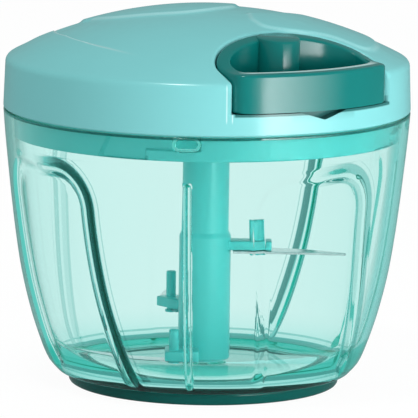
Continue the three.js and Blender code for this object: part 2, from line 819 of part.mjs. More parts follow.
// Where the lead touches the winding, drawn with the pull along -Y
const leadRun = Math.sqrt(guideStart ** 2 - windingRadius ** 2);
const leadDirection = new THREE.Vector3(windingRadius / guideStart, -leadRun / guideStart, 0);
const touchAngle = Math.atan2(-windingRadius * leadRun, windingRadius ** 2);

function windingPoint(angle, height) {
  return new THREE.Vector3(windingRadius * Math.sin(angle), -windingRadius * Math.cos(angle), height);
}

function cordWinding() {
  const steps = Math.round(windingTurns * windingSteps);
  const whole = 2 * Math.PI * windingTurns;
  const points = Array.from({ length: steps + 1 }, (_, i) => {
    const left = 1 - i / steps;
    return windingPoint(touchAngle - whole * left, cordHeight - windingPitch * windingTurns * left);
  });
  const first = points[0].clone().sub(points[1]).normalize().multiplyScalar(2 * cordRadius);
  points.unshift(points[0].clone().add(first));
  points.push(points[points.length - 1].clone().addScaledVector(leadDirection, 2 * cordRadius));
  console.log('cord_winding least gap', leastGap(points, 2 * cordRadius, windingSteps / 2).toFixed(2));
  return turned(solid(sweep(points, cordSection())), pullAzimuth);
}

// Least distance between points that are apart along a tube, less the tube's diameter
function leastGap(points, diameter, apart) {
  let least = Infinity;
  points.forEach((point, i) => {
    points.slice(i + apart).forEach((other) => {
      least = Math.min(least, point.distanceTo(other));
    });
  });
  return least - diameter;
}

function cordLead() {
  const touch = windingPoint(touchAngle, cordHeight);
  const runs = [leadStart, leadRun - leadEndGap];
  const points = runs.map((run) => touch.clone().addScaledVector(leadDirection, run));
  return turned(solid(sweep(points, cordSection())), pullAzimuth);
}

function cordGuide() {
  const end = recessBack;
  const shoulder = guideStart + guideFlangeThickness;
  const body = ring([
    [guideBoreRadius, guideStart],
    [guideFlangeRadius, guideStart],
    [guideFlangeRadius, shoulder],
    [guideRadius, shoulder],
    [guideRadius, end],
    [guideBoreRadius, end],
  ], smallSteps);
  return turned(moved(body.rotate([90, 0, 0]), 0, 0, cordHeight), pullAzimuth);
}

function cordReel() {
  const core = windingRadius - cordRadius - clearance;
  const pocketTop = upperFlangeTop - reelWeb;
  const cupOuter = reelFlangeRadius - springCupWall;
  const cupInner = cupOuter - springCupWall;
  const bore = axleRadius + clearance;
  const boreBottom = reelBottom + reelFloor;
  const pilotTop = boreBottom - reelWeb;
  return ring([
    [pilotRadius, reelBottom],
    [reelHubRadius, reelBottom],
    [reelHubRadius, pocketTop],
    [core - reelCoreWall, pocketTop],
    [core - reelCoreWall, reelBottom],
    [reelFlangeRadius, reelBottom],
    [reelFlangeRadius, reelBottom + reelFlangeThickness],
    [core, reelBottom + reelFlangeThickness],
    [core, upperFlangeBottom],
    [reelFlangeRadius, upperFlangeBottom],
    [reelFlangeRadius, upperFlangeTop],
    [cupOuter, upperFlangeTop],
    [cupOuter, cupTop],
    [cupInner, cupTop],
    [cupInner, upperFlangeTop],
    [bore, upperFlangeTop],
    [bore, boreBottom],
    [0, boreBottom],
    [0, pilotTop],
    [pilotRadius, pilotTop],
  ], reelSteps);
}

function recoilSpring() {
  const cupInner = reelFlangeRadius - 2 * springCupWall;
  const from = arborRadius + clearance + springStrip / 2;
  const to = cupInner - clearance - springStrip / 2;
  const steps = Math.round(springTurns * springSteps);
  const middle = (upperFlangeTop + cupTop) / 2;
  const points = Array.from({ length: steps + 1 }, (_, i) => {
    const radius = from + (to - from) * i / steps;
    const angle = 2 * Math.PI * springTurns * i / steps;
    return new THREE.Vector3(radius * Math.sin(angle), -radius * Math.cos(angle), middle);
  });
  const half = springStrip / 2;
  const tall = springCupHeight / 2 - clearance;
  return solid(sweep(points, [[-half, -tall], [half, -tall], [half, tall], [-half, tall]]));
}

function reelCover() {
  const top = reelCoverBottom + reelCoverThickness;
  const plate = rod(reelCoverRadius, reelCoverBottom, top, reelSteps);
  const arbor = rod(arborRadius, upperFlangeTop + clearance, top);
  const places = reelPostPlaces();
  const ears = places.map((at) => moved(rod(reelEarRadius, reelCoverBottom, top), at.x, at.y));
  const holes = places.map((at) => {
    return moved(rod(pilotRadius, reelCoverBottom - overrun, top + overrun, tinySteps), at.x, at.y);
  });
  const bore = rod(axleRadius + clearance, reelBottom, top + overrun);
  return joined([plate, arbor, ...ears]).subtract(joined([bore, ...holes]));
}

function reelAxle() {
  const seat = reelCoverBottom + reelCoverThickness + clearance;
  return solid(lathe([
    [0, axleBottom],
    [axleRadius, axleBottom],
    [axleRadius, seat],
    [axleHeadRadius, seat],
    [axleHeadRadius, seat + axleHeadThickness],
    [0, seat + axleHeadThickness],
  ], smallSteps));
}

function driveSocket() {
  const webBottom = socketTop - socketWeb;
  const tube = ring([
    [pilotRadius, webBottom],
    [socketBoreRadius, webBottom],
    [socketBoreRadius, socketBottom],
    [columnRadius, socketBottom],
    [columnRadius, socketTop],
    [pilotRadius, socketTop],
  ], reelSteps);
  const half = socketRibWidth / 2;
  const outer = (socketBoreRadius + columnRadius) / 2;
  const rib = new THREE.Shape();
  rib.moveTo(-half, socketRibInner);
  rib.lineTo(half, socketRibInner);
  rib.lineTo(half, outer);
  rib.lineTo(-half, outer);
  const ribs = [0, Math.PI].map((turn) => turned(prism(rib, socketBottom, webBottom), turn));
  return joined([tube, ...ribs]);
}

// Screw with its head's underside at a height: pointing down, or up where the head is below
function screwAt(place, height, length, down) {
  const body = solid(lathe([
    [0, -screwHeadThickness],
    [screwHeadRadius, -screwHeadThickness],
    [screwHeadRadius, 0],
    [screwRadius, 0],
    [screwRadius, length],
    [0, length],
  ], tinySteps));
  return moved(down ? body.rotate([180, 0, 0]) : body, place.x, place.y, height);
}

function baseRing() {
  const inner = footOuterRadius - footRingWidth;
  const top = bowlLedgeHeight - clearance;
  return ring([[inner, 0], [footOuterRadius, 0], [footOuterRadius, top], [inner, top]], roundSteps);
}

function pivotPin() {
  const bottom = pivotSeatHeight + clearance;
  return rod(pivotRadius, bottom, bottom + pivotLength);
}

function lidSeal() {
  return ring([
    [sealInnerRadius, sealBottom],
    [sealOuterRadius, sealBottom],
    [sealOuterRadius, sealTop],
    [sealInnerRadius, sealTop],
  ], roundSteps);
}

function pullCord() {
  const end = knotOut - knotRadius - clearance / 2;
  return turned(pullRod(cordRadius, guideStart, end, cordSides), pullAzimuth);
}

function cordKnot() {
  const ball = solid(new THREE.SphereGeometry(knotRadius, tinySteps, tinySteps / 2));
  return turned(moved(ball, 0, -knotOut, cordHeight), pullAzimuth);
}

function socketScrew() {
  const seat = socketTop - socketWeb - clearance;
  const pilotTop = reelBottom + reelFloor - reelWeb;
  return screwAt(new THREE.Vector2(0, 0), seat, pilotTop - clearance - seat, false);
}

const looks = {
  bowl: material(0xbfeee2, 0.08),
  dark: material(0x16706c, 0.25),
  mid: material(0x3fa69c, 0.35),
  light: material(0x83d6cf, 0.2),
  inner: material(0xdfe6e4, 0.5),
  steel: material(0xc9cdd0, 0.25, 1),
  silicone: material(0xe8efee, 0.6),
  cord: material(0xf0f0ea, 0.8),
};

addPiece('bowl', bowl(), looks.bowl);
addPiece('base_ring', baseRing(), looks.dark);
addPiece('pivot_pin', pivotPin(), looks.steel);
addPiece('blade_holder', bladeHolder(), looks.mid);
arms.forEach((arm) => addPiece(`blade_${arm.name}`, blade(arm), looks.steel));
addPiece('lid_seal', lidSeal(), looks.silicone);
addPiece('lid_cover', lidCover(), looks.light);
addPiece('lid_base', lidBase(), looks.mid);
addPiece('pull_handle', pullHandle(), looks.dark);
addPiece('cord_reel', cordReel(), looks.inner);
addPiece('cord_winding', cordWinding(), looks.cord);
addPiece('cord_lead', cordLead(), looks.cord);
addPiece('pull_cord', pullCord(), looks.cord);
addPiece('cord_knot', cordKnot(), looks.cord);
addPiece('cord_guide', cordGuide(), looks.steel);
addPiece('recoil_spring', recoilSpring(), looks.steel);
addPiece('reel_cover', reelCover(), looks.inner);
addPiece('reel_axle', reelAxle(), looks.steel);
addPiece('drive_socket', driveSocket(), looks.inner);
addPiece('socket_screw', socketScrew(), looks.steel);

const coverScrewSeat = reelCoverBottom + reelCoverThickness + clearance;
reelPostPlaces().forEach((place, i) => {
  addPiece(`reel_cover_screw_${i + 1}`, screwAt(place, coverScrewSeat, screwLength, true), looks.steel);
});
lidScrewAzimuths.forEach((azimuth, i) => {
  const place = polar(lidScrewOut, azimuth);
  const screw = screwAt(place, plateUnderside - clearance, screwLength, false);
  addPiece(`lid_screw_${i + 1}`, screw, looks.steel);
});

export default object;
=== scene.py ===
"""Pull-string food chopper: clear bowl, bladed column, domed lid and a finger loop on a cord."""
from math import asin, atan2, cos, degrees, dist, hypot, pi, radians, sin, sqrt

import bmesh
import bpy
import numpy as np
from mathutils import Matrix, Vector

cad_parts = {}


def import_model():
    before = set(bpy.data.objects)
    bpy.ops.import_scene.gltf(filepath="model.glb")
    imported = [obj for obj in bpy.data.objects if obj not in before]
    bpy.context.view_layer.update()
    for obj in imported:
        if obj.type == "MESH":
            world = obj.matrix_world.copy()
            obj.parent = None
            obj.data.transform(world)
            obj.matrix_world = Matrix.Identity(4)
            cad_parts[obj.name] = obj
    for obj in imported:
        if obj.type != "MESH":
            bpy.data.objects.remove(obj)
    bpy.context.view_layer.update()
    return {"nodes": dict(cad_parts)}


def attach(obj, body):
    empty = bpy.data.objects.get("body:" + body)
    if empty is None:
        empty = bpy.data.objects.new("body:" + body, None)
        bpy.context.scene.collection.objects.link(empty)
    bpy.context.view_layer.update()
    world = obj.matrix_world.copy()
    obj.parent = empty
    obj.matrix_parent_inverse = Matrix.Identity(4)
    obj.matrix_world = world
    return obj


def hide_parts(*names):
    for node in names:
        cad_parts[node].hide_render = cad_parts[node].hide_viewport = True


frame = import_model()
nodes = frame["nodes"]
MM = 0.001
TAU = 2 * pi
QUARTER = pi / 2
# Azimuths are seen from above: 0 points along -Y, to the front, and they grow towards +X
PULL = radians(34.4)
# Height of the cord from the reel through its guide to the finger loop
CORD_HEIGHT = 104.0375

# Camera fitted to the photo, in metres and radians
CAMERA_PLACE = (0, -1.8, 0.3484)
CAMERA_LENS, SENSOR_WIDTH = 482.92, 36
PAN, TILT, ROLL = 0.00062, 0.16071, 0.01439


def new_object(name, data):
    piece = bpy.data.objects.new(name, data)
    bpy.context.scene.collection.objects.link(piece)
    return piece


def put_camera():
    data = bpy.data.cameras.new("camera")
    data.sensor_width = SENSOR_WIDTH
    data.lens = CAMERA_LENS
    forward = Vector((sin(PAN) * cos(TILT), cos(PAN) * cos(TILT), -sin(TILT)))
    right = forward.cross(Vector((0, 0, 1))).normalized()
    up = right.cross(forward)
    side = cos(ROLL) * right + sin(ROLL) * up
    rise = cos(ROLL) * up - sin(ROLL) * right
    turn = Matrix((side, rise, -forward)).transposed().to_4x4()
    camera = new_object("camera", data)
    camera.matrix_world = Matrix.Translation(CAMERA_PLACE) @ turn
    bpy.context.scene.camera = camera


put_camera()


# Node helpers; one that is given an output adds its nodes to the tree of that output

def feed(socket, value):
    """Links an output to an input, or sets a plain value there."""
    if isinstance(value, bpy.types.NodeSocket):
        socket.id_data.links.new(value, socket)
    elif socket.type == "RGBA":
        socket.default_value = (*value, 1)
    else:
        socket.default_value = value


def fill(node, values):
    for label, value in values.items():
        feed(node.inputs[label], value)
    return node


def new_node(tree, kind, values=None):
    return fill(tree.nodes.new("ShaderNode" + kind), values or {})


def mix_colors(share, first, second):
    mix = new_node(share.id_data, "Mix")
    mix.data_type = "RGBA"
    return fill(mix, {"Factor": share, "A": first, "B": second}).outputs["Result"]


def mix_shaders(share, first, second):
    mix = new_node(first.id_data, "MixShader")
    for socket, value in zip(mix.inputs, (share, first, second)):
        feed(socket, value)
    return mix.outputs["Shader"]


def math_node(operation, *values):
    node = new_node(values[0].id_data, "Math")
    node.operation = operation
    for socket, value in zip(node.inputs, values):
        feed(socket, value)
    return node.outputs[0]


def product(first, second):
    return math_node("MULTIPLY", first, second)


def larger(first, second):
    return math_node("MAXIMUM", first, second)


def noise(place, scale, detail=2.0):
    values = {"Vector": place, "Scale": scale, "Detail": detail}
    return new_node(place.id_data, "TexNoise", values).outputs["Fac"]


def ramp(value, low, high, to_low=0.0, to_high=1.0):
    values = {"Value": value, "From Min": low, "From Max": high, "To Min": to_low,
              "To Max": to_high}
    return new_node(value.id_data, "MapRange", values).outputs["Result"]


def window(value, low, high, soft_edge):
    """One between two values, zero outside them."""
    return product(ramp(value, low - soft_edge, low + soft_edge),
                   ramp(value, high - soft_edge, high + soft_edge, 1, 0))


def axes_of(vector):
    return new_node(vector.id_data, "SeparateXYZ", {"Vector": vector}).outputs


def attribute(tree, name):
    node = new_node(tree, "Attribute")
    node.attribute_name = name
    return node.outputs


def object_place(tree, scale=(1, 1, 1)):
    place = new_node(tree, "TexCoord").outputs["Object"]
    return new_node(tree, "Mapping", {"Scale": scale, "Vector": place}).outputs["Vector"]


def around_and_out(tree):
    """Azimuth in degrees, and radius and height in metres, of the shaded place."""
    x, y, z = axes_of(object_place(tree))
    azimuth = math_node("DEGREES", math_node("ARCTAN2", x, product(y, -1)))
    squares = math_node("ADD", product(x, x), product(y, y))
    return azimuth, math_node("SQRT", squares), z


def bump(shader, height, distance, strength):
    values = {"Distance": distance, "Strength": strength, "Height": height}
    feed(shader.inputs["Normal"], new_node(height.id_data, "Bump", values).outputs["Normal"])


def by_ray(plain, mirrored, seen):
    """One shader for light, one as mirrored, and one as seen straight or through plastic."""
    path = new_node(plain.id_data, "LightPath").outputs
    straight = larger(path["Is Camera Ray"], path["Is Transmission Ray"])
    return mix_shaders(straight, mix_shaders(path["Is Glossy Ray"], plain, mirrored), seen)


# Shader groups shared by the materials

COLOR, FLOAT, VECTOR = "NodeSocketColor", "NodeSocketFloat", "NodeSocketVector"


def new_group(name, inputs):
    tree = bpy.data.node_groups.new(name, "ShaderNodeTree")
    for label, kind in inputs.items():
        tree.interface.new_socket(label, in_out="INPUT", socket_type=kind)
    for label, kind in (("Color", COLOR), ("Roughness", FLOAT), ("Height", FLOAT)):
        tree.interface.new_socket(label, in_out="OUTPUT", socket_type=kind)
    return tree.nodes.new("NodeGroupInput").outputs


def close_group(color, roughness, height):
    values = {"Color": color, "Roughness": roughness, "Height": height}
    return fill(color.id_data.nodes.new("NodeGroupOutput"), values).id_data


def moulded_group():
    """Moulded plastic: faint flow clouds in the colour, uneven gloss and the finest pitting."""
    given = new_group("moulded_surface", {"Color": COLOR, "Deep Color": COLOR, "Gloss": FLOAT,
                                          "Spread": FLOAT, "Vector": VECTOR})
    place = given["Vector"]
    clouds = ramp(noise(place, 28.0, 3.0), 0.35, 0.7)
    uneven = ramp(noise(place, 240.0), 0.3, 0.7)
    rough = math_node("ADD", given["Gloss"], product(uneven, given["Spread"]))
    return close_group(mix_colors(clouds, given["Color"], given["Deep Color"]), rough,
                       noise(place, 2600.0))


def brushed_group():
    """Steel: fine streaks along one direction, in colour, roughness and height."""
    given = new_group("brushed_surface", {"Color": COLOR, "Streak Color": COLOR, "Gloss": FLOAT,
                                          "Vector": VECTOR})
    streaks = ramp(noise(given["Vector"], 1.0, 3.0), 0.35, 0.65)
    rough = math_node("ADD", given["Gloss"], product(streaks, 0.12))
    return close_group(mix_colors(streaks, given["Color"], given["Streak Color"]), rough, streaks)


MOULDED = moulded_group()
BRUSHED = brushed_group()


# Materials; lengths in them are in metres

def new_material(name):
    material = bpy.data.materials.new(name)
    material.use_nodes = True
    tree = material.node_tree
    return material, tree, tree.nodes["Principled BSDF"]


def surfaced(name, group, values, scale, distance, strength):
    """A material whose colour, roughness and fine relief come from a shader group."""
    material, tree, shader = new_material(name)
    node = new_node(tree, "Group")
    node.node_tree = group
    fill(node, {**values, "Vector": object_place(tree, scale)})
    fill(shader, {"Base Color": node.outputs["Color"], "Roughness": node.outputs["Roughness"]})
    bump(shader, node.outputs["Height"], distance, strength)
    return material, shader


def plastic(name, color, deep, gloss, spread=0.05, level=0.5):
    values = {"Color": color, "Deep Color": deep, "Gloss": gloss, "Spread": spread}
    material, shader = surfaced(name, MOULDED, values, (1, 1, 1), 0.00002, 0.15)
    fill(shader, {"IOR": 1.5, "Specular IOR Level": level})
    return material


def steel(name, color, streak, gloss, scale):
    values = {"Color": color, "Streak Color": streak, "Gloss": gloss}
    material, shader = surfaced(name, BRUSHED, values, scale, 0.00003, 0.2)
    fill(shader, {"Metallic": 1.0})
    return material


# Clear plastic: tints of its surface, painted shade where it is seen at a slant, on its right flank
# and in bands along the arches and at foot and rim, and tints of light on its way through
FACE_TINT = (1.0, 1.0, 0.99)
PAINTED_SLANT_SHADE = (0.16, 0.34, 0.31)
PAINTED_FLANK_SHADE = (0.34, 0.8, 0.78)
PAINTED_BAND_TEAL = (0.08, 0.42, 0.39)
PAINTED_BAND_SHADE = (0.0, 0.016, 0.013)
DEPTH_TINT, DEPTH_DENSITY = (0.12, 0.84, 0.79), 120.0
SHADOW_TINT = (0.12, 0.14, 0.14)
INNER_GLOW = (0.5, 0.8, 0.77)
GLOSS_BOUNCES = 2.5
# Painted shade bands, as millimetres and darkness: across an arch's outline, and up from the foot
BAND_RANGE = 10
ARCH_BANDS = ((0.2, 0), (0.5, 0.45), (0.9, 0), (1.9, 0.1), (2.3, 0.95), (5.1, 1.0), (5.4, 0.05),
              (6.4, 0), (6.8, 0.5), (7.8, 0.55), (8.0, 0.95), (8.6, 0.8), (8.9, 0))
FOOT_BANDS = ((0, 0.8), (1.3, 0.7), (1.6, 0.1), (2.5, 0.05), (2.8, 0.4), (3.2, 0.4), (3.5, 0),
              (7.1, 0), (7.3, 0.9))


def dark_bands(value, bands):
    """Painted shade along a value in millimetres, from a list of places and darknesses."""
    node = new_node(value.id_data, "ValToRGB")
    stops = node.color_ramp.elements
    for _ in bands[2:]:
        stops.new(1)
    for stop, (place, dark) in zip(stops, bands):
        stop.position, stop.color = place / BAND_RANGE, (dark, dark, dark, 1)
    feed(node.inputs["Fac"], product(value, 1 / BAND_RANGE))
    return node.outputs["Color"]


def clear_plastic():
    """Clear mint plastic: its tint deepens with the way through it, and lamps shine through.
    Painted shade darkens it at a slant and along bands, and after a few glossy bounces it shows a
    painted glow.
    """
    material, tree, shader = new_material("clear_mint_plastic")
    # Painted shade bands along the arches' edges, at the foot and under the lid's rim
    edge, share, foot = axes_of(attribute(tree, "painted_shade_bands")["Vector"])
    dark = larger(product(dark_bands(edge, ARCH_BANDS), share), dark_bands(foot, FOOT_BANDS))
    # Painted shade: dark teal where the clear plastic is seen at a slant
    slant = new_node(tree, "LayerWeight").outputs["Facing"]
    plain = mix_colors(ramp(slant, 0.64, 0.76), FACE_TINT, PAINTED_SLANT_SHADE)
    # Painted shade on the right flank: mid teal from a moderate slant on, in place of white and of
    # the darker slant shade
    flank = product(window(around_and_out(tree)[0], 66, 100, 3), ramp(slant, 0.36, 0.46))
    plain = mix_colors(flank, plain, PAINTED_FLANK_SHADE)
    teal = mix_colors(ramp(dark, 0, 0.5), plain, PAINTED_BAND_TEAL)
    path = new_node(tree, "LightPath").outputs
    place = object_place(tree)
    fill(shader, {
        "Base Color": mix_colors(ramp(dark, 0.5, 1), teal, PAINTED_BAND_SHADE),
        "Transmission Weight": 1.0, "Specular Tint": path["Is Camera Ray"], "IOR": 1.52,
        "Roughness": ramp(noise(place, 60.0), 0.3, 0.8, 0.0, 0.02)})
    bump(shader, noise(place, 35.0, 1.0), 0.0004, 0.06)
    clear = new_node(tree, "BsdfTransparent", {"Color": SHADOW_TINT}).outputs["BSDF"]
    lit = mix_shaders(path["Is Shadow Ray"], shader.outputs["BSDF"], clear)
    # Painted light: past a few glossy bounces the clear plastic glows mint instead of reflecting
    # further
    glow = new_node(tree, "Emission", {"Color": INNER_GLOW}).outputs["Emission"]
    deep = math_node("GREATER_THAN", path["Glossy Depth"], GLOSS_BOUNCES)
    depth = new_node(tree, "VolumeAbsorption", {"Color": DEPTH_TINT, "Density": DEPTH_DENSITY})
    fill(tree.nodes["Material Output"], {"Surface": mix_shaders(deep, lit, glow),
                                         "Volume": depth.outputs["Volume"]})
    return material


def braid():
    """Braided cord: strands that cross along the piece's own UV."""
    material, tree, shader = new_material("braided_cord")
    uv = new_node(tree, "UVMap")
    uv.uv_map = "along"
    strands = []
    for turn in (radians(38), radians(-38)):
        place = new_node(tree, "Mapping",
                         {"Rotation": (0, 0, turn), "Vector": uv.outputs["UV"]}).outputs["Vector"]
        wave = new_node(tree, "TexWave", {"Scale": 0.8, "Vector": place})
        strands.append(wave.outputs["Fac"])
    weave = larger(*strands)
    fill(shader, {"Base Color": mix_colors(weave, (0.5, 0.5, 0.46), (0.78, 0.78, 0.74)),
                  "Roughness": ramp(weave, 0.0, 1.0, 0.9, 0.7)})
    bump(shader, weave, 0.0001, 0.5)
    return material


def tree_and_color(material):
    tree = material.node_tree
    return tree, tree.nodes["Principled BSDF"].inputs["Base Color"]


def lid_details():
    """Painted highlight lines on raised edges and beside the handle, and painted shade under the
    handle and in its notch.
    """
    tree, base = tree_and_color(LID)
    azimuth, radius, z = around_and_out(tree)
    # Painted highlights: two thin light lines beside the handle, and along the raised edges
    lines = larger(window(azimuth, 5.3, 5.5, 0.15), window(azimuth, 6.9, 7.1, 0.15))
    lines = product(lines, window(z, 0.0945, 0.106, 0.0006))
    lines = larger(lines, attribute(tree, "lit_edge")["Fac"])
    light = mix_colors(lines, base.links[0].from_socket, (0.8, 1.0, 1.0))
    # Painted shade under the handle's edge and in the notch below it
    ledge = product(window(azimuth, 7.6, 62, 0.3), window(z, 0.0962, 0.099, 0.0002))
    notch = product(window(azimuth, 24, 45, 0.5), window(z, 0.09, 0.099, 0.0003))
    notch = product(notch, window(radius, 0.0604, 0.0657, 0.0002))
    shade = product(larger(ledge, notch), 0.9)
    feed(base, mix_colors(shade, light, (0.004, 0.12, 0.11)))


def loop_details():
    """Painted sheen along the inner edge of the finger loop's front bar, seen only at a low angle.
    """
    tree, base = tree_and_color(DARK)
    azimuth, radius, z = around_and_out(tree)
    line = product(window(azimuth, 11, 59, 2), window(radius, 0.0600, 0.0630, 0.0003))
    line = product(line, ramp(z, 0.1088, 0.1092, 0, 0.9))
    slant = new_node(tree, "LayerWeight").outputs["Facing"]
    line = product(line, ramp(slant, 0.55, 0.78))
    feed(base, mix_colors(line, base.links[0].from_socket, (0.7, 0.95, 0.93)))


CLEAR = clear_plastic()
LID = plastic("light_aqua_plastic", (0.25, 0.71, 0.72), (0.24, 0.69, 0.7), 0.2, 0.05)
MID = plastic("mid_teal_plastic", (0.12, 0.76, 0.74), (0.11, 0.73, 0.71), 0.28, 0.06)
DARK = plastic("dark_teal_plastic", (0.003, 0.2, 0.185), (0.002, 0.185, 0.17), 0.15, 0.04, 0.45)
# The foot ring is dark teal like the handle, set darker still as painted shade under the bowl
FOOT = plastic("foot_ring_plastic", (0.002, 0.12, 0.105), (0.002, 0.105, 0.09), 0.14, 0.04, 0.35)
INNER = plastic("inner_white_plastic", (0.72, 0.76, 0.75), (0.68, 0.73, 0.72), 0.42, 0.1)
RUBBER = plastic("soft_seal", (0.7, 0.78, 0.75), (0.66, 0.75, 0.72), 0.6, 0.1)
BLADE = steel("blade_steel", (0.72, 0.73, 0.74), (0.6, 0.61, 0.63), 0.14, (300, 2600, 300))
STEEL = steel("bright_steel", (0.6, 0.61, 0.62), (0.5, 0.51, 0.53), 0.22, (900, 900, 900))
CORD = braid()
lid_details()
loop_details()


# Mesh helpers, in millimetres until a piece is finished

SEAM = 1e-3


def bevelled(bm, edges, offset, segments):
    bmesh.ops.bevel(bm, geom=edges, offset=offset, offset_type="OFFSET", segments=segments,
                    profile=0.5, affect="EDGES", material=-1)


def object_of(name, bm):
    mesh = bpy.data.meshes.new(name)
    bm.to_mesh(mesh)
    bm.free()
    return new_object(name, mesh)


def finish_piece(name, bm, material, body, node, sharp=35):
    """Scales a shape to metres and makes it the visible piece of a CAD node."""
    bmesh.ops.scale(bm, vec=(MM, MM, MM), verts=bm.verts)
    piece = object_of(name, bm)
    piece.data.materials.append(material)
    piece.data.shade_smooth()
    piece.data.set_sharp_from_angle(angle=radians(sharp))
    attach(piece, body)
    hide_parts(node)


def bend(start, control, end, steps):
    """Points of a quadratic bend, without its first point."""
    a, b, c = Vector(start), Vector(control), Vector(end)
    return [tuple(a * (1 - t) ** 2 + b * 2 * t * (1 - t) + c * t * t)
            for t in np.linspace(0, 1, steps + 1)[1:]]


def rounded(points, radius, steps=3, closed=False):
    """A line with rounded corners; a corner may give its own radius as a third number."""
    count = len(points)
    result = []
    for i, point in enumerate(points):
        here = Vector(point[:2])
        size = point[2] if len(point) > 2 else radius
        if size == 0 or (not closed and i in (0, count - 1)):
            result.append(tuple(here))
            continue
        before = Vector(points[i - 1][:2]) - here
        after = Vector(points[(i + 1) % count][:2]) - here
        reach = min(size, before.length * 0.45, after.length * 0.45)
        start = here + before.normalized() * reach
        result += [tuple(start), *bend(start, here, here + after.normalized() * reach, steps)]
    return result


def turn_about_z(bm, angle, verts=None):
    bmesh.ops.rotate(bm, cent=(0, 0, 0), matrix=Matrix.Rotation(angle, 3, "Z"),
                     verts=bm.verts if verts is None else verts)
    return bm


def spun(profile, steps, closed=False):
    """A shape turned about Z from [radius, height] points: a quarter is spun, then repeated."""
    bm = bmesh.new()
    line = [bm.verts.new((r, 0, z)) for r, z in profile]
    pairs = list(zip(line, line[1:])) + ([(line[-1], line[0])] if closed else [])
    edges = [bm.edges.new(pair) for pair in pairs]
    bmesh.ops.spin(bm, geom=line + edges, cent=(0, 0, 0), axis=(0, 0, 1), dvec=(0, 0, 0),
                   angle=QUARTER, steps=steps // 4, use_merge=False, use_duplicate=False)
    quarter = bm.verts[:] + bm.edges[:] + bm.faces[:]
    for k in (1, 2, 3):
        copy = bmesh.ops.duplicate(bm, geom=quarter)["geom"]
        verts = [part for part in copy if isinstance(part, bmesh.types.BMVert)]
        turn_about_z(bm, k * QUARTER, verts)
    bmesh.ops.remove_doubles(bm, verts=bm.verts, dist=SEAM)
    bmesh.ops.recalc_face_normals(bm, faces=bm.faces)
    return bm


def skin(loops):
    """Loops of equal count, one after the other, bridged into a closed shape."""
    bm = bmesh.new()
    rings = []
    for loop in loops:
        verts = bmesh.ops.create_circle(bm, cap_ends=False, radius=1, segments=len(loop))["verts"]
        for vert, place in zip(verts, loop):
            vert.co = place
        rings.append(list({edge for vert in verts for edge in vert.link_edges}))
    for first, second in zip(rings, rings[1:]):
        bmesh.ops.bridge_loops(bm, edges=first + second)
    bmesh.ops.contextual_create(bm, geom=rings[0])
    bmesh.ops.contextual_create(bm, geom=rings[-1])
    bmesh.ops.recalc_face_normals(bm, faces=bm.faces)
    return bm


def combine(base, steps):
    """Joins and cuts whole shapes, and gives back the mesh as a bmesh."""
    base = object_of("base", base)
    others = []
    for shape, operation in steps:
        modifier = base.modifiers.new("cut", "BOOLEAN")
        modifier.object = object_of("other", shape)
        modifier.operation = operation
        modifier.solver = "EXACT"
        others.append(modifier.object)
    shape = base.evaluated_get(bpy.context.evaluated_depsgraph_get())
    mesh = bpy.data.meshes.new_from_object(shape)
    bm = bmesh.new()
    bm.from_mesh(mesh)
    for piece in (base, *others):
        bpy.data.objects.remove(piece)
    bmesh.ops.remove_doubles(bm, verts=bm.verts, dist=SEAM)
    return bm


def join_into(bm, *parts):
    for part in parts:
        mesh = bpy.data.meshes.new("part")
        part.to_mesh(mesh)
        part.free()
        bm.from_mesh(mesh)
        bpy.data.meshes.remove(mesh)
    return bm


def block(low, high, bevel):
    bm = bmesh.new()
    bmesh.ops.create_cube(bm, size=1)
    low, high = Vector(low), Vector(high)
    bmesh.ops.scale(bm, vec=high - low, verts=bm.verts)
    bmesh.ops.translate(bm, vec=(low + high) / 2, verts=bm.verts)
    bevelled(bm, bm.edges[:], bevel, 2)
    return bm


def upright(radius, low, high, place, bevel=0.3):
    bm = spun(rounded([(0, low), (radius, low), (radius, high), (0, high)], bevel), 32)
    bmesh.ops.translate(bm, vec=(*place, 0), verts=bm.verts)
    return bm


def smoothstep(value, low, high):
    t = min(max((value - low) / (high - low), 0), 1)
    return t * t * (3 - 2 * t)


def soft(values, low, high):
    """Smooth steps of an array."""
    t = np.clip((values - low) / (high - low), 0, 1)
    return t * t * (3 - 2 * t)


def polar(radius, azimuth):
    return Vector((radius * sin(azimuth), -radius * cos(azimuth)))


def circle(radius, sides=12, height=0.0):
    return [(radius * cos(a), height + radius * sin(a))
            for a in np.linspace(0, TAU, sides + 1)[:-1]]


def off_copy(azimuth, centre):
    """Angle from the nearest of four copies around the axis."""
    return azimuth - centre - QUARTER * round((azimuth - centre) / QUARTER)


# Bowl

BOWL_HEIGHTS = (4.6, 8.0, 14.8, 24.0, 36.0, 48.0, 60.9, 68.1, 76.2, 82.0, 89.6)
BOWL_RADII = (47.9, 50.8, 53.66, 56.63, 59.53, 61.51, 63.16, 63.95, 64.81, 65.38, 66.0)
BOWL_WALL, BOWL_FLOOR, FLOOR_FLAT = 2.2, 4.6, 36
RIM_TOP, RIM_START, RIM_RADIUS = 89.6, 88.8, 66.0
# Between these heights the rows are close, for the tops of the arches
CLOSE_ROWS = (60, 80)

# Arch-shaped panels: their middle leans below a height, and they widen towards the top
ARCH = radians(33.9)
ARCH_TOP, ARCH_CORNER, ARCH_DEPTH = 78.5, 15, 1.45
ARCH_HALF, ARCH_SPREAD = 21, 2.8
ARCH_LEAN, LEAN_TOP, LEAN_LOW, LEAN_HEIGHT = radians(7.6), 67, 8, 59
# Darkness of the painted shade along the four arches' edges and how far outside an edge its bands
# start
ARCH_DARKNESS = (0.45, 0.9, 0.35, 1)
BAND_OUTSIDE = 2.5
# Painted shade up from the foot below FOOT_BAND_TOP; higher up the bands are shifted to the rim,
# where the last one is a painted shadow line under the lid; NO_BAND gives no shade
FOOT_BAND_TOP, RIM_BAND_SHIFT, NO_BAND = 9.6, 81.6, 5

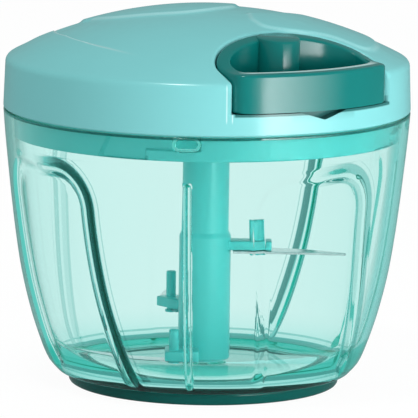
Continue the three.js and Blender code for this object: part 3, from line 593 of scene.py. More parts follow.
RIB, RIB_HALF, RIB_DEPTH, RIB_TOP = radians(-5.3), 1.25, 1.2, 74.6
LUG, LUG_HALF, LUG_DEPTH, LUG_MIDDLE = radians(-5.7), 2.2, 2.4, 87.2

# Runs of the bowl's columns from rib to rib, in degrees and counts, close at rib and legs
LEFT_LEG, RIGHT_LEG, RIB_RUN = 13.5, 52.5, 4.6
COLUMN_RUNS = ((0, RIB_RUN, 15), (RIB_RUN, LEFT_LEG + 2, 8), (LEFT_LEG + 2, LEFT_LEG + 10, 16),
               (LEFT_LEG + 10, RIGHT_LEG, 14), (RIGHT_LEG, RIGHT_LEG + 8, 20),
               (RIGHT_LEG + 8, 90 - RIB_RUN, 14), (90 - RIB_RUN, 90, 15))
COLUMNS = np.radians(np.concatenate([np.linspace(low, high, n + 1)[:-1]
                                     for low, high, n in COLUMN_RUNS]))
LEG_MARGIN = 0.035


def bowl_radius(height):
    """Smooth outer radius of the bowl at a height."""
    heights, radii = BOWL_HEIGHTS, BOWL_RADII
    last = len(heights) - 1
    i = min(max(sum(h <= height for h in heights) - 1, 0), last - 1)

    def slope(k):
        a, b = max(k - 1, 0), min(k + 1, last)
        return (radii[b] - radii[a]) / (heights[b] - heights[a])

    step = heights[i + 1] - heights[i]
    t = (height - heights[i]) / step
    if t < 0:
        return radii[0] + slope(0) * (height - heights[0])
    return ((2 * t ** 3 - 3 * t * t + 1) * radii[i] + (t ** 3 - 2 * t * t + t) * step * slope(i)
            + (3 * t * t - 2 * t ** 3) * radii[i + 1] + (t ** 3 - t * t) * step * slope(i + 1))


def arch_at(height):
    """Middle azimuth and half width in millimetres of an arch-shaped panel at a height."""
    drop = max(LEAN_TOP - height, 0) / LEAN_HEIGHT
    rise = (height - LEAN_LOW) / LEAN_HEIGHT
    return ARCH + ARCH_LEAN * drop ** 1.5, ARCH_HALF + ARCH_SPREAD * rise


def arch_inside(azimuth, height):
    """Distance inside the outline of the nearest arch-shaped panel."""
    middle, half = arch_at(height)
    across = abs(off_copy(azimuth, middle)) * bowl_radius(height) - (half - ARCH_CORNER)
    above = height - (ARCH_TOP - ARCH_CORNER)
    return ARCH_CORNER - hypot(max(across, 0), max(above, 0)) - min(max(across, above), 0)


def arch_step(azimuth, radius, height, inside):
    """Depth of an arch's step, distance inside its edge, and share of its right side."""
    right = smoothstep(off_copy(azimuth, arch_at(height)[0]) * radius, -4, 12)
    edge = arch_inside(azimuth, height) + 0.8 * right
    low = 0.6 - 0.5 * right if inside else 0.6 + 2.2 * right
    depth = smoothstep(edge, low, low + 4.4 - 0.6 * right) * smoothstep(height, 5.0, 10)
    return ARCH_DEPTH * depth, edge, right


def rib_depth(azimuth, radius, height):
    across = smoothstep(RIB_HALF - abs(off_copy(azimuth, RIB)) * radius, 0, 0.7)
    return RIB_DEPTH * across * smoothstep(height, 6.0, 9.0) * smoothstep(RIB_TOP - height, 0, 1.2)


def lug_depth(azimuth, radius, height):
    across = max(abs(off_copy(azimuth, LUG)) * radius - LUG_HALF, 0)
    return LUG_DEPTH * smoothstep(2.0 - hypot(across, height - LUG_MIDDLE), -0.4, 0.7)


def column_azimuth(index, height):
    """Azimuth of a column of the bowl's mesh: columns run along the ribs and the arches' legs."""
    lap, spot = divmod(index, len(COLUMNS))
    middle, half = arch_at(min(height, 72))
    reach = half / bowl_radius(height) - LEG_MARGIN
    knots = [0, radians(LEFT_LEG + 6), radians(RIGHT_LEG + 4), QUARTER]
    places = [0, middle - reach - RIB, middle + reach - RIB, QUARTER]
    return RIB + lap * QUARTER + np.interp(COLUMNS[spot], knots, places)


def bowl_profile():
    """The bowl's section from the axis under its floor, over the rim and back to the axis."""
    low, high = CLOSE_ROWS
    outer = [*np.linspace(BOWL_FLOOR, low, 36)[1:-1], *np.linspace(low, high, 38)[:-1],
             *np.linspace(high, RIM_START, 9)]
    inner = [*np.arange(RIM_START, 84.5, -0.25), *np.linspace(84.4, high, 5)[:-1],
             *np.linspace(high, low, 38)[:-1], *np.linspace(low, 16, 28)]
    outer = [(bowl_radius(z), z) for z in outer]
    inner = [(bowl_radius(z) - BOWL_WALL, z) for z in inner]
    foot = rounded([(0, 1.6), (38.9, 1.6, 0.5), (38.9, 4.0, 0.4), (45.2, 4.0, 0.5),
                    (47.6, 4.3, 0.6), (48.4, 5.2)], 0.4)
    rim = rounded([outer[-1], (RIM_RADIUS, RIM_TOP), (RIM_RADIUS - BOWL_WALL, RIM_TOP), inner[0]],
                  0.7)
    floor_bend = bend(inner[-1], (46.8, BOWL_FLOOR), (FLOOR_FLAT, BOWL_FLOOR), 14)
    flat_floor = [(FLOOR_FLAT - 7 * k, BOWL_FLOOR) for k in range(1, 5)]
    boss = rounded([(7.4, BOWL_FLOOR, 0), (7, 5.8, 0.5), (2.3, 5.8, 0.2), (2.3, 2.2, 0), (0, 2.2)],
                   0.2, 2)
    return foot[:-1] + outer + rim[1:-1] + inner + floor_bend + flat_floor + boss


def bowl_mesh():
    """The bowl with arches, ribs and lugs; its attribute says where painted shade darkens the clear
    plastic.
    """
    count = 4 * len(COLUMNS)
    bm = spun(bowl_profile(), count)
    layer = bm.verts.layers.float_vector.new("painted_shade_bands")
    for vert in bm.verts:
        vert[layer] = (0, 0, NO_BAND)
        x, y, z = vert.co
        radius = hypot(x, y)
        if radius < 0.01:
            continue
        index = round((atan2(y, x) % TAU) / TAU * count) % count
        azimuth = column_azimuth(index, z)
        inside = radius < bowl_radius(max(z, BOWL_FLOOR)) - 1.0 and z > BOWL_FLOOR - 0.2
        inward = edge = right = 0
        if radius > FLOOR_FLAT and z < CLOSE_ROWS[1]:
            inward, edge, right = arch_step(azimuth, radius, z, inside)
        if not inside and radius > 46:
            lap = round((azimuth - arch_at(z)[0]) / QUARTER) % 4
            up = z - BOWL_FLOOR if z < FOOT_BAND_TOP else max(NO_BAND, z - RIM_BAND_SHIFT)
            vert[layer] = (edge + BAND_OUTSIDE, right * ARCH_DARKNESS[lap], up)
        if inside and z < 75:
            inward += rib_depth(azimuth, radius, z)
        if inside and 84 < z < 89.55:
            inward += lug_depth(azimuth, radius, z)
        vert.co.x, vert.co.y = polar(radius - inward, azimuth)
    return bm


FOOT_RING = [(39.3, 0, 0.5), (43.9, 0, 1.3), (44.1, 3.7, 0.6), (39.3, 3.7, 0.4)]
finish_piece("clear_bowl", bowl_mesh(), CLEAR, "bowl", "bowl", 40)
finish_piece("foot_ring", spun(rounded(FOOT_RING, 0.4, 4, True), 192, True), FOOT, "bowl",
             "base_ring")


# Blade column

COLUMN_PROFILE = [(0, 17), (2.3, 17, 0), (2.3, 6.1, 0.2), (6.4, 6.1), (8.4, 8.1, 0.6), (8.4, 48.3),
                  (7.6, 49.9, 0.5), (7.6, 84.2), (3.2, 84.2, 0), (3.2, 88.9, 0.3), (0, 88.9)]
# Turn of each arm in degrees, its underside and top, and the top of its post and foot of its stake
UPPER_ARM = (90, 43.9, 46.8, 53.5, 42.0)
MIDDLE_ARM = (-138, 22.6, 25.8, 34.2, 20.7)
LOWER_ARM = (0, 8.3, 12.7, 19.5, 6.4)
ARM_ROOT = -6


def arm(heights, shift, half, reach, post_out, notch=False):
    """An arm drawn towards -Y with its post and the stake that holds its blade."""
    turn, low, high, post_top, stake_low = heights
    left, right = shift - half, shift + half
    if notch:
        bars = [block((left, -post_out - 1.7, low), (right, ARM_ROOT, high), 0.35),
                block((left + 0.3, -post_out - 3, low), (right - 0.3, -post_out, low + 1.0), 0.2),
                block((left, -reach, low), (right, -post_out - 2.7, high), 0.35)]
    else:
        bars = [block((left, -reach, low), (right, ARM_ROOT, high), 0.45)]
    place = (-9.6 if shift else 0, -post_out)
    bm = join_into(bmesh.new(), *bars, upright(1.6, low, post_top, place, 0.5),
                   upright(1.3, stake_low, low + 1, place, 0.1),
                   upright(1.9, stake_low, stake_low + 0.8, place, 0.2))
    return turn_about_z(bm, radians(turn))


def column_mesh():
    return join_into(
        spun(rounded(COLUMN_PROFILE, 0.4), 96), block((-5.8, -1.7, 84.0), (5.8, 1.7, 88.9), 0.4),
        arm(UPPER_ARM, 0, 3.6, 21.6, 16.4, True), arm(MIDDLE_ARM, 0, 3.6, 19.6, 16.4),
        arm(LOWER_ARM, -7, 5.5, 17, 13.4))


finish_piece("blade_column", column_mesh(), MID, "blades", "blade_holder")

BLADE_THICKNESS = 0.8
# Name, turn in degrees, root, tip, spine, width, sweep of the tip and top of each blade
BLADES = (("upper", 0, 9, 45.6, -3.4, 11, 1, 43.6), ("middle", 112, 9, 45.6, -3.4, 12, 1, 22.3),
          ("lower", 180, 2.4, 43.2, 3.6, 12.4, 8.2, 8.0))


def blade_mesh(turn, root, tip, spine, width, sweep, top):
    """Flat blade along +X with a ground edge on its leading side."""
    edge = spine + width
    start, end = (root, spine), (tip, spine - sweep)
    outline = [start, *bend(start, ((root + tip) / 2, spine), end, 10),
               *bend(end, (tip * 0.7, edge - 3), (root + 8, edge - 2.6), 18), (root, edge - 2)]
    bm = bmesh.new()
    face = bm.faces.new([bm.verts.new((x, y, top - BLADE_THICKNESS)) for x, y in outline])
    made = bmesh.ops.extrude_face_region(bm, geom=[face])["geom"]
    upper = [v for v in made if isinstance(v, bmesh.types.BMVert)]
    bmesh.ops.translate(bm, vec=(0, 0, BLADE_THICKNESS), verts=upper)
    for vert in upper:
        if vert.co.x < tip * 0.9:
            vert.co.y -= 2.4 * smoothstep(vert.co.y, edge - 3.2, edge - 0.4)
    bevelled(bm, [e for e in bm.edges if abs(e.verts[0].co.z - e.verts[1].co.z) < 0.01], 0.07, 1)
    bmesh.ops.recalc_face_normals(bm, faces=bm.faces)
    return turn_about_z(bm, radians(turn))


for name, *sizes in BLADES:
    finish_piece(f"{name}_blade", blade_mesh(*sizes), BLADE, "blades", f"blade_{name}",
                 20)


# Lid base: plate, skirt and twist lock grooves

SKIRT_IN, SKIRT_OUT, SKIRT_LOW, SKIRT_EDGE = 60.1, 62.3, 81.6, 0.7
PLATE_LOW, PLATE_TOP, PLATE_OUT, PLATE_HOLE = 91.7, 93.2, 63.5, 8.8
# Twist lock grooves: azimuths in degrees from a lug, heights and depth
GROOVE_SHIFT, GROOVE_START, GROOVE_END, MOUTH_END = 5.7, -29.8, -1.5, -17.6
GROOVE_LOW, GROOVE_TOP, GROOVE_DEPTH = 84.9, 89.5, 1.4
PLATE_POSTS_OUT = 26


def groove_depth(azimuth, height):
    """Depth of the twist lock's groove: a run for the lug and a mouth that opens down."""
    turn = degrees(off_copy(azimuth, LUG)) - GROOVE_SHIFT
    start = turn - GROOVE_START + 2.6 * smoothstep(86.5 - height, -2.6, 5)
    under_top = (GROOVE_TOP - height) * 1.3
    run = min(start, GROOVE_END - turn, (height - GROOVE_LOW) * 1.3, under_top)
    mouth = min(start, MOUTH_END - turn + 0.6 * smoothstep(83.6 - height, 0, 2), under_top)
    return GROOVE_DEPTH * smoothstep(max(run, mouth), 0, 0.45)


def lid_base_mesh():
    low = SKIRT_LOW + SKIRT_EDGE
    outer = [(SKIRT_OUT, low + 9.0 * i / 30) for i in range(31)]
    skirt = rounded([(SKIRT_IN, 91.0), (SKIRT_IN, SKIRT_LOW), (SKIRT_OUT, SKIRT_LOW),
                     (SKIRT_OUT, low + 0.1)], SKIRT_EDGE)
    plate = [(SKIRT_OUT, PLATE_LOW), (PLATE_OUT, PLATE_LOW), (PLATE_OUT, PLATE_TOP),
             (PLATE_HOLE, PLATE_TOP), (PLATE_HOLE, PLATE_LOW), (SKIRT_IN, PLATE_LOW)]
    bm = spun(plate + skirt[:-1] + outer, 720, True)
    for vert in bm.verts:
        x, y, z = vert.co
        radius = hypot(x, y)
        if radius > 62 and z < 91.5:
            azimuth = atan2(x, -y)
            vert.co.x, vert.co.y = polar(radius - groove_depth(azimuth, max(z, low)), azimuth)
    return join_into(bm, *[upright(3, 92.5, 111.2, polar(PLATE_POSTS_OUT, PULL + k * pi / 3))
                           for k in (1, 3, 5)])


finish_piece("lid_plate_and_skirt", lid_base_mesh(), MID, "lid", "lid_base", 50)


# Lid cover

# The dome is part of a ball, and ends in a rounded shoulder
BALL_MIDDLE, BALL_RADIUS = -17.6, 140
SHOULDER_START, SHOULDER_TOP, SHOULDER_DROP, SHOULDER_WIDTH = 63.4, 107.2, 2.6, 2.1
ROOF = 2.2
# Plans of the raised pads, as read from their edges in the photo
SWIRL = [(-41, 9), (-38.4, 5.7), (-31.7, -3.3), (-25.2, -7.3), (-17.2, -9.8), (-9.1, -10.6),
         (-1.1, -7.3), (7, 1.2), (9.5, 9), (8.5, 17), (3.3, 24), (-7.9, 31), (-22.4, 33), (-34, 27),
         (-41, 18)]
CRESCENT = [(13.1, -6.5), (13.1, -10), (13.7, -15.6), (15, -18.8), (17.2, -22.4), (21.3, -23.5),
            (27.7, -22.1), (39.6, -17.5), (50.2, -17.8), (54.8, -6.6), (52.8, 13.2), (40.9, 31.7),
            (33, 26.4), (27.7, 10.6), (18.5, -1.3)]
SWIRL_LIFT, CRESCENT_LIFT, WEDGE_LIFT, WEDGE_DIP = 0.78, 0.65, 0.75, 0.5
# Azimuths in degrees and radii of the step that bounds the wedge along the left edge
WEDGE_EDGE = ((-110, -96, -72, -57, -48, -41, -34, -27, -20),
              (52, 50, 47.2, 47.2, 47.8, 48.4, 49.4, 50.5, 52.5))
SCREW_AZIMUTHS = (104.4, -35.6, 189.4, -120.6)


def through(points, steps):
    """A closed smooth line through points."""
    p = np.array(points, float)
    a, c, d = np.roll(p, 1, 0), np.roll(p, -1, 0), np.roll(p, -2, 0)
    t = (np.arange(steps) / steps)[None, :, None]
    a, b, c, d = (q[:, None, :] for q in (a, p, c, d))
    return (0.5 * (2 * b + (c - a) * t + (2 * a - 5 * b + 4 * c - d) * t ** 2
                   + (3 * b - a - 3 * c + d) * t ** 3)).reshape(-1, 2)


def inside_distance(places, points):
    """Distance inside the smooth line through points, negative outside it."""
    outline = through(points, 6)
    nearest = np.full(len(places), np.inf)
    inside = np.zeros(len(places), bool)
    x, y = places.T[:2]
    for (ax, ay), (bx, by) in zip(outline, np.roll(outline, -1, 0)):
        dx, dy = bx - ax, by - ay
        t = np.clip(((x - ax) * dx + (y - ay) * dy) / (dx * dx + dy * dy), 0, 1)
        nearest = np.minimum(nearest, np.hypot(x - ax - t * dx, y - ay - t * dy))
        if dy:
            inside ^= ((ay > y) != (by > y)) & (x < dx * (y - ay) / dy + ax)
    return np.where(inside, nearest, -nearest)


def out_and_around(places):
    """Radii and azimuths in degrees."""
    x, y = places.T[:2]
    return np.hypot(x, y), np.degrees(np.arctan2(x, -y))


def dome_height(radius):
    """Height of the plain dome and its rounded shoulder."""
    radius = np.asarray(radius, float)
    dome = BALL_MIDDLE + np.sqrt(BALL_RADIUS ** 2 - np.minimum(radius, 65.9) ** 2)
    over = np.clip(radius - SHOULDER_START, 0, SHOULDER_WIDTH) / SHOULDER_WIDTH
    return np.where(radius < SHOULDER_START, dome, SHOULDER_TOP - SHOULDER_DROP * over ** 2.4)


def relief(places):
    """Raised swirl and crescent pads and the wedge along the left edge."""
    radius, azimuth = out_and_around(places)
    wedge = soft(azimuth, -106, -94) * (1 - soft(azimuth, -88, -22))
    edge = np.interp(azimuth, *WEDGE_EDGE)
    lift = (WEDGE_LIFT * soft(radius, edge - 0.3, edge + 0.4) * (1 - soft(radius, 54, 63))
            - WEDGE_DIP * soft(radius, edge - 12, edge - 1)
            * (1 - soft(radius, edge - 0.6, edge + 0.4))) * wedge
    lift += SWIRL_LIFT * soft(inside_distance(places, SWIRL), -0.6, 1.0)
    crescent = soft(inside_distance(places, CRESCENT), -0.8, 1.2) * (1 - soft(radius, 58, 63))
    return lift + CRESCENT_LIFT * crescent


def lit_edges(bm):
    """Marks the raised edges of the lid's top that get a painted highlight."""
    def hill(distance, middle, width):
        return np.exp(-((distance - middle) / width) ** 2)

    places = np.array([v.co[:] for v in bm.verts])
    y, z = places.T[1:]
    radius, azimuth = out_and_around(places)
    wedge = (hill(radius - np.interp(azimuth, *WEDGE_EDGE), 0.1, 0.5)
             * soft(azimuth, -106, -97) * (1 - soft(azimuth, -60, -24)))
    swirl = 0.3 * hill(inside_distance(places, SWIRL), 0.4, 0.7) * (y < 5)
    crescent = 0.2 * hill(inside_distance(places, CRESCENT), 0.3, 0.7) * (radius < 56)
    values = np.maximum(wedge, np.maximum(swirl, crescent)) * (z > 106) * (radius < 62)
    layer = bm.verts.layers.float.new("lit_edge")
    for vert, value in zip(bm.verts, values):
        vert[layer] = value
    return bm


# Plan of the finger loop with the pull along -Y: half an ellipse behind its middle, straight sides
LOOP_MIDDLE, LOOP_HALF, LOOP_DEPTH = -50, 28.8, 16.2
# Places along the flared sides of the recess, as shift outwards and y
FLARE = [(0, -53), (0, -55.4), (0.12, -56.3), (0.45, -57.0), (1.0, -57.55), (1.7, -57.95),
         (2.6, -58.35), (4.5, -59.0), (4.5, -66), (4.5, -74)]


def half_ellipse(grow):
    half, depth = LOOP_HALF + grow, LOOP_DEPTH + grow
    return half, [(half * cos(t), LOOP_MIDDLE + depth * sin(t)) for t in np.linspace(0, pi, 61)]


def loop_outline(grow, front, corner):
    """Plan of the finger loop, closed by a front arc with rounded corners."""
    half, points = half_ellipse(grow)
    reach = asin(half / front)
    low = -front * cos(reach)
    stop = reach - corner / front
    arc = [(front * sin(t), -front * cos(t)) for t in np.linspace(-stop, stop, 41)]
    points += [(-half, y) for y in np.linspace(LOOP_MIDDLE, low + corner, 6)[1:]]
    points += bend((-half, low + corner), (-half, low), arc[0], 6)
    points += arc[1:]
    points += bend(arc[-1], (half, low), (half, low + corner), 6)
    points += [(half, y) for y in np.linspace(low + corner, LOOP_MIDDLE, 6)[1:-1]]
    return np.array(points)


def recess_outline(grow):
    """Plan of the recess around the loop, whose sides flare where they leave the wall."""
    half, points = half_ellipse(grow)
    end = FLARE[-1][1]
    points += [(-half - out, y) for out, y in FLARE]
    points += [(x, end) for x in np.linspace(-half, half, 9)]
    points += [(half + out, y) for out, y in reversed(FLARE)]
    return np.array(points)


def at_height(places, heights):
    return np.column_stack([places, np.broadcast_to(heights, len(places))])


def over_lid(outline, rise, inside=99.0):
    """Turns a plan along the pull to its place, at a distance above the lid's surface."""
    c, s = cos(PULL), sin(PULL)
    x, y = outline.T
    places = np.column_stack([x * c - y * s, x * s + y * c])
    radius = np.hypot(*places.T)
    places *= (np.minimum(radius, inside) / radius)[:, None]
    top = dome_height(np.hypot(*places.T)) + relief(places)
    return at_height(places, top + rise)


def at_level(outline, level, inside=99.0):
    loop = over_lid(outline, 0, inside)
    loop[:, 2] = level
    return loop


def across_pull(section, near, far):
    """A bar with a section of [sideways, height] points, between two distances along the pull."""
    return skin([[(x, -out, z) for x, z in section] for out in (near, far)])


def lid_shell():
    """Wall, shoulder, dome with its raised pads, roof and inner wall, spun from axis to axis."""
    roof = [(r, float(dome_height(r)) - ROOF) for r in np.linspace(0, 60, 16)]
    inner = [(63.2, 104.0), (63.8, 92.0), (65.1, 92.0), (65.1, 90.1), (65.7, 90.1), (66.0, 90.45)]
    wall = [(66.0 - 0.5 * i / 8, 91.2 + 13.0 * i / 8) for i in range(9)]
    shoulder = [(65.48, 104.75), (65.4, 105.25), (65.2, 105.75), (64.85, 106.25), (64.4, 106.65),
                (63.9, 106.95)]
    radii = [*np.linspace(63.2, 54, 10)[:-1], *np.linspace(54, 46, 25)[:-1],
             *np.linspace(46, 1, 57)]
    dome = [(r, float(dome_height(r))) for r in radii]
    bm = spun(roof + inner + wall + shoulder + dome + [(0, BALL_MIDDLE + BALL_RADIUS)], 384)
    places = np.array([vert.co for vert in bm.verts])
    radius = out_and_around(places)[0]
    on_top = (places[:, 2] > dome_height(radius) - 0.6) & (radius < 64.6)
    for vert, top, rise in zip(bm.verts, on_top, relief(places[:, :2])):
        if top:
            vert.co.z += rise
    return bm


RECESS_GAP, RECESS_FLOOR, RECESS_LIP = 0.45, 97.0, 1.2
POCKET_WALL, POCKET_LOW, POCKET_OUT = 2.45, 95.0, 64.8
# Bar behind the notch, as radii, half width in degrees and heights
BACKING_RADII, BACKING_HALF, BACKING_HEIGHTS = (60.9, POCKET_OUT), 9.5, (93.6, 96.4)
NOTCH = [(0.4, 94.5), (8.9, 97.1), (8.9, 104), (-8.9, 104), (-8.9, 97.1), (-0.4, 94.5)]
GUIDE_HOLE = 2.9


def lid_cover_mesh():
    wall = loop_outline(POCKET_WALL, 70, 1)
    pocket = skin([at_level(wall, POCKET_LOW, POCKET_OUT), over_lid(wall, -1.0, POCKET_OUT),
                   over_lid(loop_outline(0.1, 66, 1), -1.0, POCKET_OUT)])
    sweep = np.linspace(-BACKING_HALF, BACKING_HALF, 9)
    plan = [polar(radius, PULL + radians(d))
            for radius, turns in zip(BACKING_RADII, (sweep, sweep[::-1])) for d in turns]
    backing = skin([[(x, y, z) for x, y in plan] for z in BACKING_HEIGHTS])
    lip = [(RECESS_LIP * (1 - cos(a)), RECESS_LIP * sin(a) - RECESS_LIP)
           for a in np.radians(np.linspace(0, 75, 7))]
    recess = skin([at_level(recess_outline(RECESS_GAP - 0.5), RECESS_FLOOR),
                   at_level(recess_outline(RECESS_GAP - 0.15), RECESS_FLOOR + 0.15),
                   at_level(recess_outline(RECESS_GAP), RECESS_FLOOR + 0.5)]
                  + [over_lid(recess_outline(RECESS_GAP + out), rise) for out, rise in lip]
                  + [over_lid(recess_outline(4.0), 0.55), at_level(recess_outline(4.0), 135.0)])
    notch = turn_about_z(across_pull(NOTCH, 62.2, 74), PULL)
    guide_hole = turn_about_z(across_pull(circle(GUIDE_HOLE, 24, CORD_HEIGHT), 28, 42), PULL)
    bm = combine(lid_shell(), [(pocket, "UNION"), (backing, "UNION"), (recess, "DIFFERENCE"),
                               (notch, "DIFFERENCE"), (guide_hole, "DIFFERENCE")])
    return join_into(bm, *[upright(3.4, 93.5, 110.6, polar(50, radians(azimuth)), 0.2)
                           for azimuth in SCREW_AZIMUTHS])


finish_piece("lid_cover_shell", lit_edges(lid_cover_mesh()), LID, "lid", "lid_cover",
             32)


# Finger loop

# Where the lower edge's rounding ends, the rounding, and the least height of the front bar's top
LOOP_BEND, LOOP_EDGE, BAR_TOP = 98.1, 0.8, 109.5
OPENING_SHRINK, OPENING_FRONT, OPENING_CORNER = -3.7, 61.2, 2.2
LOOP_FRONT, LOOP_CORNER = 66, 3.2
# Post with a flat back: its radius, its distance along the pull, its back, and its sloping top
POST_RADIUS, POST_OUT, POST_BACK = 7, 39.5, -34.4
POST_TOP, POST_SLOPE, POST_SLOPE_FROM = 118.2, 0.11, 33.8
KNOT_OUT = 40.4


def loop_top(outline):
    """Height of the loop's top: the dome, levelled off where the front bar crosses its shoulder."""
    above = BALL_MIDDLE + np.sqrt(BALL_RADIUS ** 2 - np.sum(outline ** 2, axis=1)) - BAR_TOP
    return BAR_TOP + np.where(above > 3, above, np.log1p(np.exp(above * 1.6)) / 1.6)


def loop_row(grow, front, corner, drop=None, level=None):
    plan = loop_outline(grow, front, corner)
    return at_height(plan, level if drop is None else loop_top(plan) - drop)


def opening_row(shrink, drop=None, level=None):
    return loop_row(OPENING_SHRINK - shrink, OPENING_FRONT - shrink, OPENING_CORNER, drop, level)


def finger_loop_mesh():
    turns = [(cos(a), sin(a)) for a in np.radians(np.linspace(0, 90, 6))]
    outside = [loop_row(LOOP_EDGE * s - LOOP_EDGE, LOOP_FRONT, LOOP_CORNER,
                        level=LOOP_BEND - LOOP_EDGE * c) for c, s in turns]
    outside += [loop_row(c - 1, LOOP_FRONT - 1 + c, LOOP_CORNER, 1 - s) for c, s in turns]
    outside += [loop_row(-7, 59, 3, 0)]
    opening = [opening_row(0, level=90)]
    opening += [opening_row(LOOP_EDGE * s, level=LOOP_BEND - LOOP_EDGE * c) for c, s in turns]
    opening += [opening_row(LOOP_EDGE * c, LOOP_EDGE - LOOP_EDGE * s) for c, s in turns]
    opening += [opening_row(-0.2, -0.6), opening_row(-0.2, level=130)]
    post = []
    for grow, drop in ((-0.8, None), (0, None), (0, 0.7), (-0.2, 0.2), (-0.7, 0)):
        plan = [(x, min(y, POST_BACK)) for x, y in circle(POST_RADIUS + grow, 48, -POST_OUT)]
        post.append([(x, y, LOOP_BEND + grow if drop is None
                      else POST_TOP + POST_SLOPE * (y + POST_SLOPE_FROM) - drop) for x, y in plan])
    pocket = upright(2.4, 90, 106.4, (0, -KNOT_OUT), 0)
    bore = across_pull(circle(1.05, 16, CORD_HEIGHT), 25, KNOT_OUT)
    bm = combine(skin(outside), [(skin(opening), "DIFFERENCE"), (skin(post), "UNION"),
                                 (pocket, "DIFFERENCE"), (bore, "DIFFERENCE")])
    return turn_about_z(bm, PULL)


finish_piece("finger_loop", finger_loop_mesh(), DARK, "handle", "pull_handle", 32)


# Cord and spring

CORD_RADIUS, KNOT_CORD_RADIUS = 0.75, 0.72
WINDING_RADIUS, WINDING_TURNS, WINDING_PITCH = 18, 4.25, 1.95
GUIDE_START, CORD_END = 30.25, 38.15
LEAD_START, LEAD_END_GAP = 8.6, 1
LEAD_RUN = sqrt(GUIDE_START ** 2 - WINDING_RADIUS ** 2)
LEAD_WAY = Vector((WINDING_RADIUS / GUIDE_START, -LEAD_RUN / GUIDE_START, 0))
TOUCH = atan2(-LEAD_RUN, WINDING_RADIUS)
SPRING_START, SPRING_GROWTH, SPRING_TURNS, SPRING_MIDDLE = 6.05, 12.2, 3.5, 108.9
TURN = Matrix.Rotation(PULL, 3, "Z")


def swept(name, path, section, material, body, node):
    """A section carried along a path; its UV runs along and round the section, in millimetres."""
    points = [Vector(p) for p in path]
    loops = []
    for i, point in enumerate(points):
        along = (points[min(i + 1, len(points) - 1)] - points[max(i - 1, 0)]).normalized()
        side = along.cross(Vector((0, 0, 1))).normalized()
        rise = side.cross(along)
        loops.append([point + side * a + rise * b for a, b in section])
    bm = skin(loops)
    count = len(section)
    run = np.concatenate([[0], np.cumsum([(b - a).length for a, b in zip(points, points[1:])])])
    girth = [dist(section[k], section[(k + 1) % count]) for k in range(count)]
    around = np.concatenate([[0], np.cumsum(girth)])
    layer = bm.loops.layers.uv.new("along")
    for face in bm.faces:
        spots = [(vert.index // count, vert.index % count) for vert in face.verts]
        wraps = {spot for _, spot in spots} == {0, count - 1}
        for corner, (step, spot) in zip(face.loops, spots):
            corner[layer].uv = (run[step], around[count if wraps and spot == 0 else spot])
    finish_piece(name, bm, material, body, node, 60)


def cord(name, path, body, node, radius=CORD_RADIUS):
    """A piece of the cord along a path that is drawn with the pull along -Y."""
    swept(name, [TURN @ Vector(p) for p in path], circle(radius), CORD, body, node)


def winding_point(left):
    """Place on the winding at a share of its length before the cord leaves it."""
    back = WINDING_TURNS * left
    return polar(WINDING_RADIUS, TOUCH - TAU * back).to_3d() + Vector(
        (0, 0, CORD_HEIGHT - WINDING_PITCH * back))


winding = [winding_point(left) for left in np.linspace(1, 0, 205)]
lead_in = winding[0] + (winding[0] - winding[1]).normalized() * 2 * CORD_RADIUS
cord("wound_cord", [lead_in, *winding, winding[-1] + LEAD_WAY * 2 * CORD_RADIUS], "reel",
     "cord_winding")
cord("cord_to_guide", [winding[-1] + LEAD_WAY * run
                       for run in np.linspace(LEAD_START, LEAD_RUN - LEAD_END_GAP, 9)],
     "lid", "cord_lead")
cord("pull_cord_end", [(0, -out, CORD_HEIGHT) for out in np.linspace(GUIDE_START, CORD_END, 9)],
     "handle", "pull_cord")
cord("cord_stopper_knot", [(1.2 * sin(2 * t), -KNOT_OUT + sin(t) * cos(2 * t),
                            CORD_HEIGHT + 1.1 * cos(t)) for t in np.linspace(0, TAU, 49)[:-1]],
     "handle", "cord_knot", KNOT_CORD_RADIUS)

spring = [(*polar(SPRING_START + SPRING_GROWTH * share, TAU * SPRING_TURNS * share), SPRING_MIDDLE)
          for share in np.linspace(0, 1, 127)]
strip = rounded([(-0.25, -2.3), (0.25, -2.3), (0.25, 2.3), (-0.25, 2.3)], 0.1, 2, True)
swept("recoil_spring_strip", spring, strip, STEEL, "lid", "recoil_spring")


# Carried nodes

def dress(names, material):
    for name in names:
        mesh = nodes[name].data
        mesh.materials.clear()
        mesh.materials.append(material)


dress(["pivot_pin", "cord_guide", "reel_axle", "socket_screw",
       *[f"reel_cover_screw_{k}" for k in (1, 2, 3)], *[f"lid_screw_{k}" for k in (1, 2, 3, 4)]],
      STEEL)
dress(["cord_reel", "reel_cover", "drive_socket"], INNER)
dress(["lid_seal"], RUBBER)


# Floor, light and background

MIRRORED = {"Color": (0.75, 1, 1), "Strength": 0.29}
FLOOR_GLOW, FLOOR_GLOW_SHARE = 1.03, 0.93
# Watts: brightness times pi times the lamp's area
SOFTBOX_WATTS = 8 * pi * 0.0573
OVERHEAD_WATTS = 70 * pi * 0.004


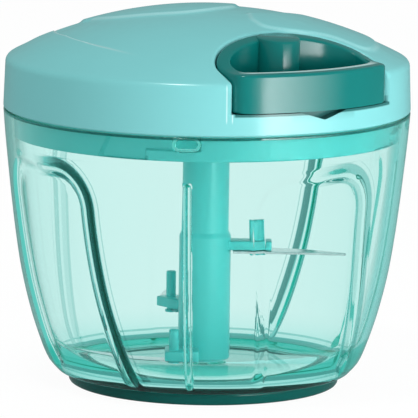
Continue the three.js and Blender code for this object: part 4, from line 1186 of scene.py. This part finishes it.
def floor():
    bm = bmesh.new()
    bmesh.ops.create_grid(bm, x_segments=1, y_segments=1, size=6)
    piece = object_of("floor", bm)
    material, tree, shader = new_material("pale_floor")
    fill(shader, {"Base Color": (0.8, 0.8, 0.8), "Roughness": 0.9, "Specular IOR Level": 0})
    plain = shader.outputs["BSDF"]
    glow = new_node(tree, "Emission", {"Strength": FLOOR_GLOW}).outputs["Emission"]
    mirrored = new_node(tree, "Emission", MIRRORED).outputs["Emission"]
    seen = mix_shaders(FLOOR_GLOW_SHARE, plain, glow)
    feed(tree.nodes["Material Output"].inputs["Surface"], by_ray(plain, mirrored, seen))
    piece.data.materials.append(material)


def world():
    sky = bpy.data.worlds.new("studio")
    bpy.context.scene.world = sky
    sky.use_nodes = True
    tree = sky.node_tree
    back = fill(tree.nodes["Background"], {"Color": (0.95, 1, 1), "Strength": 0.55})
    white = new_node(tree, "Background", {"Color": (1, 1, 1), "Strength": 1.0})
    mirrored = new_node(tree, "Background", MIRRORED)
    feed(tree.nodes["World Output"].inputs["Surface"],
         by_ray(*[node.outputs["Background"] for node in (back, mirrored, white)]))


def lamp(name, azimuth, elevation, distance, size, watts, target):
    """An area lamp at an azimuth and elevation seen from its target, which it faces."""
    data = bpy.data.lights.new(name, "AREA")
    data.shape = "RECTANGLE"
    data.size, data.size_y = size
    data.energy = watts
    piece = new_object(name, data)
    a, e = radians(azimuth), radians(elevation)
    way = Vector((sin(a) * cos(e), -cos(a) * cos(e), sin(e)))
    turn = way.to_track_quat("Z", "Y").to_matrix().to_4x4()
    piece.matrix_world = Matrix.Translation(Vector(target) * MM + way * distance) @ turn
    piece.visible_camera = False
    return piece


def fade(piece, first, last):
    """Lets a lamp fade along its width."""
    piece.data.use_nodes = True
    tree = piece.data.node_tree
    along = axes_of(new_node(tree, "NewGeometry").outputs["Parametric"])["X"]
    level = math_node("POWER", ramp(along, 0, 1, first, last), 1.5)
    feed(tree.nodes["Emission"].inputs["Strength"], level)


floor()
world()
fade(lamp("softbox", 53.8, -2, 0.38, (0.358, 0.16), SOFTBOX_WATTS, (0, 0, 100)), 1.28, 0.0)
lamp("overhead", -34, 70, 0.6, (0.1, 0.04), OVERHEAD_WATTS, (0, -30, 110))

bpy.context.scene.view_settings.view_transform = "Standard"
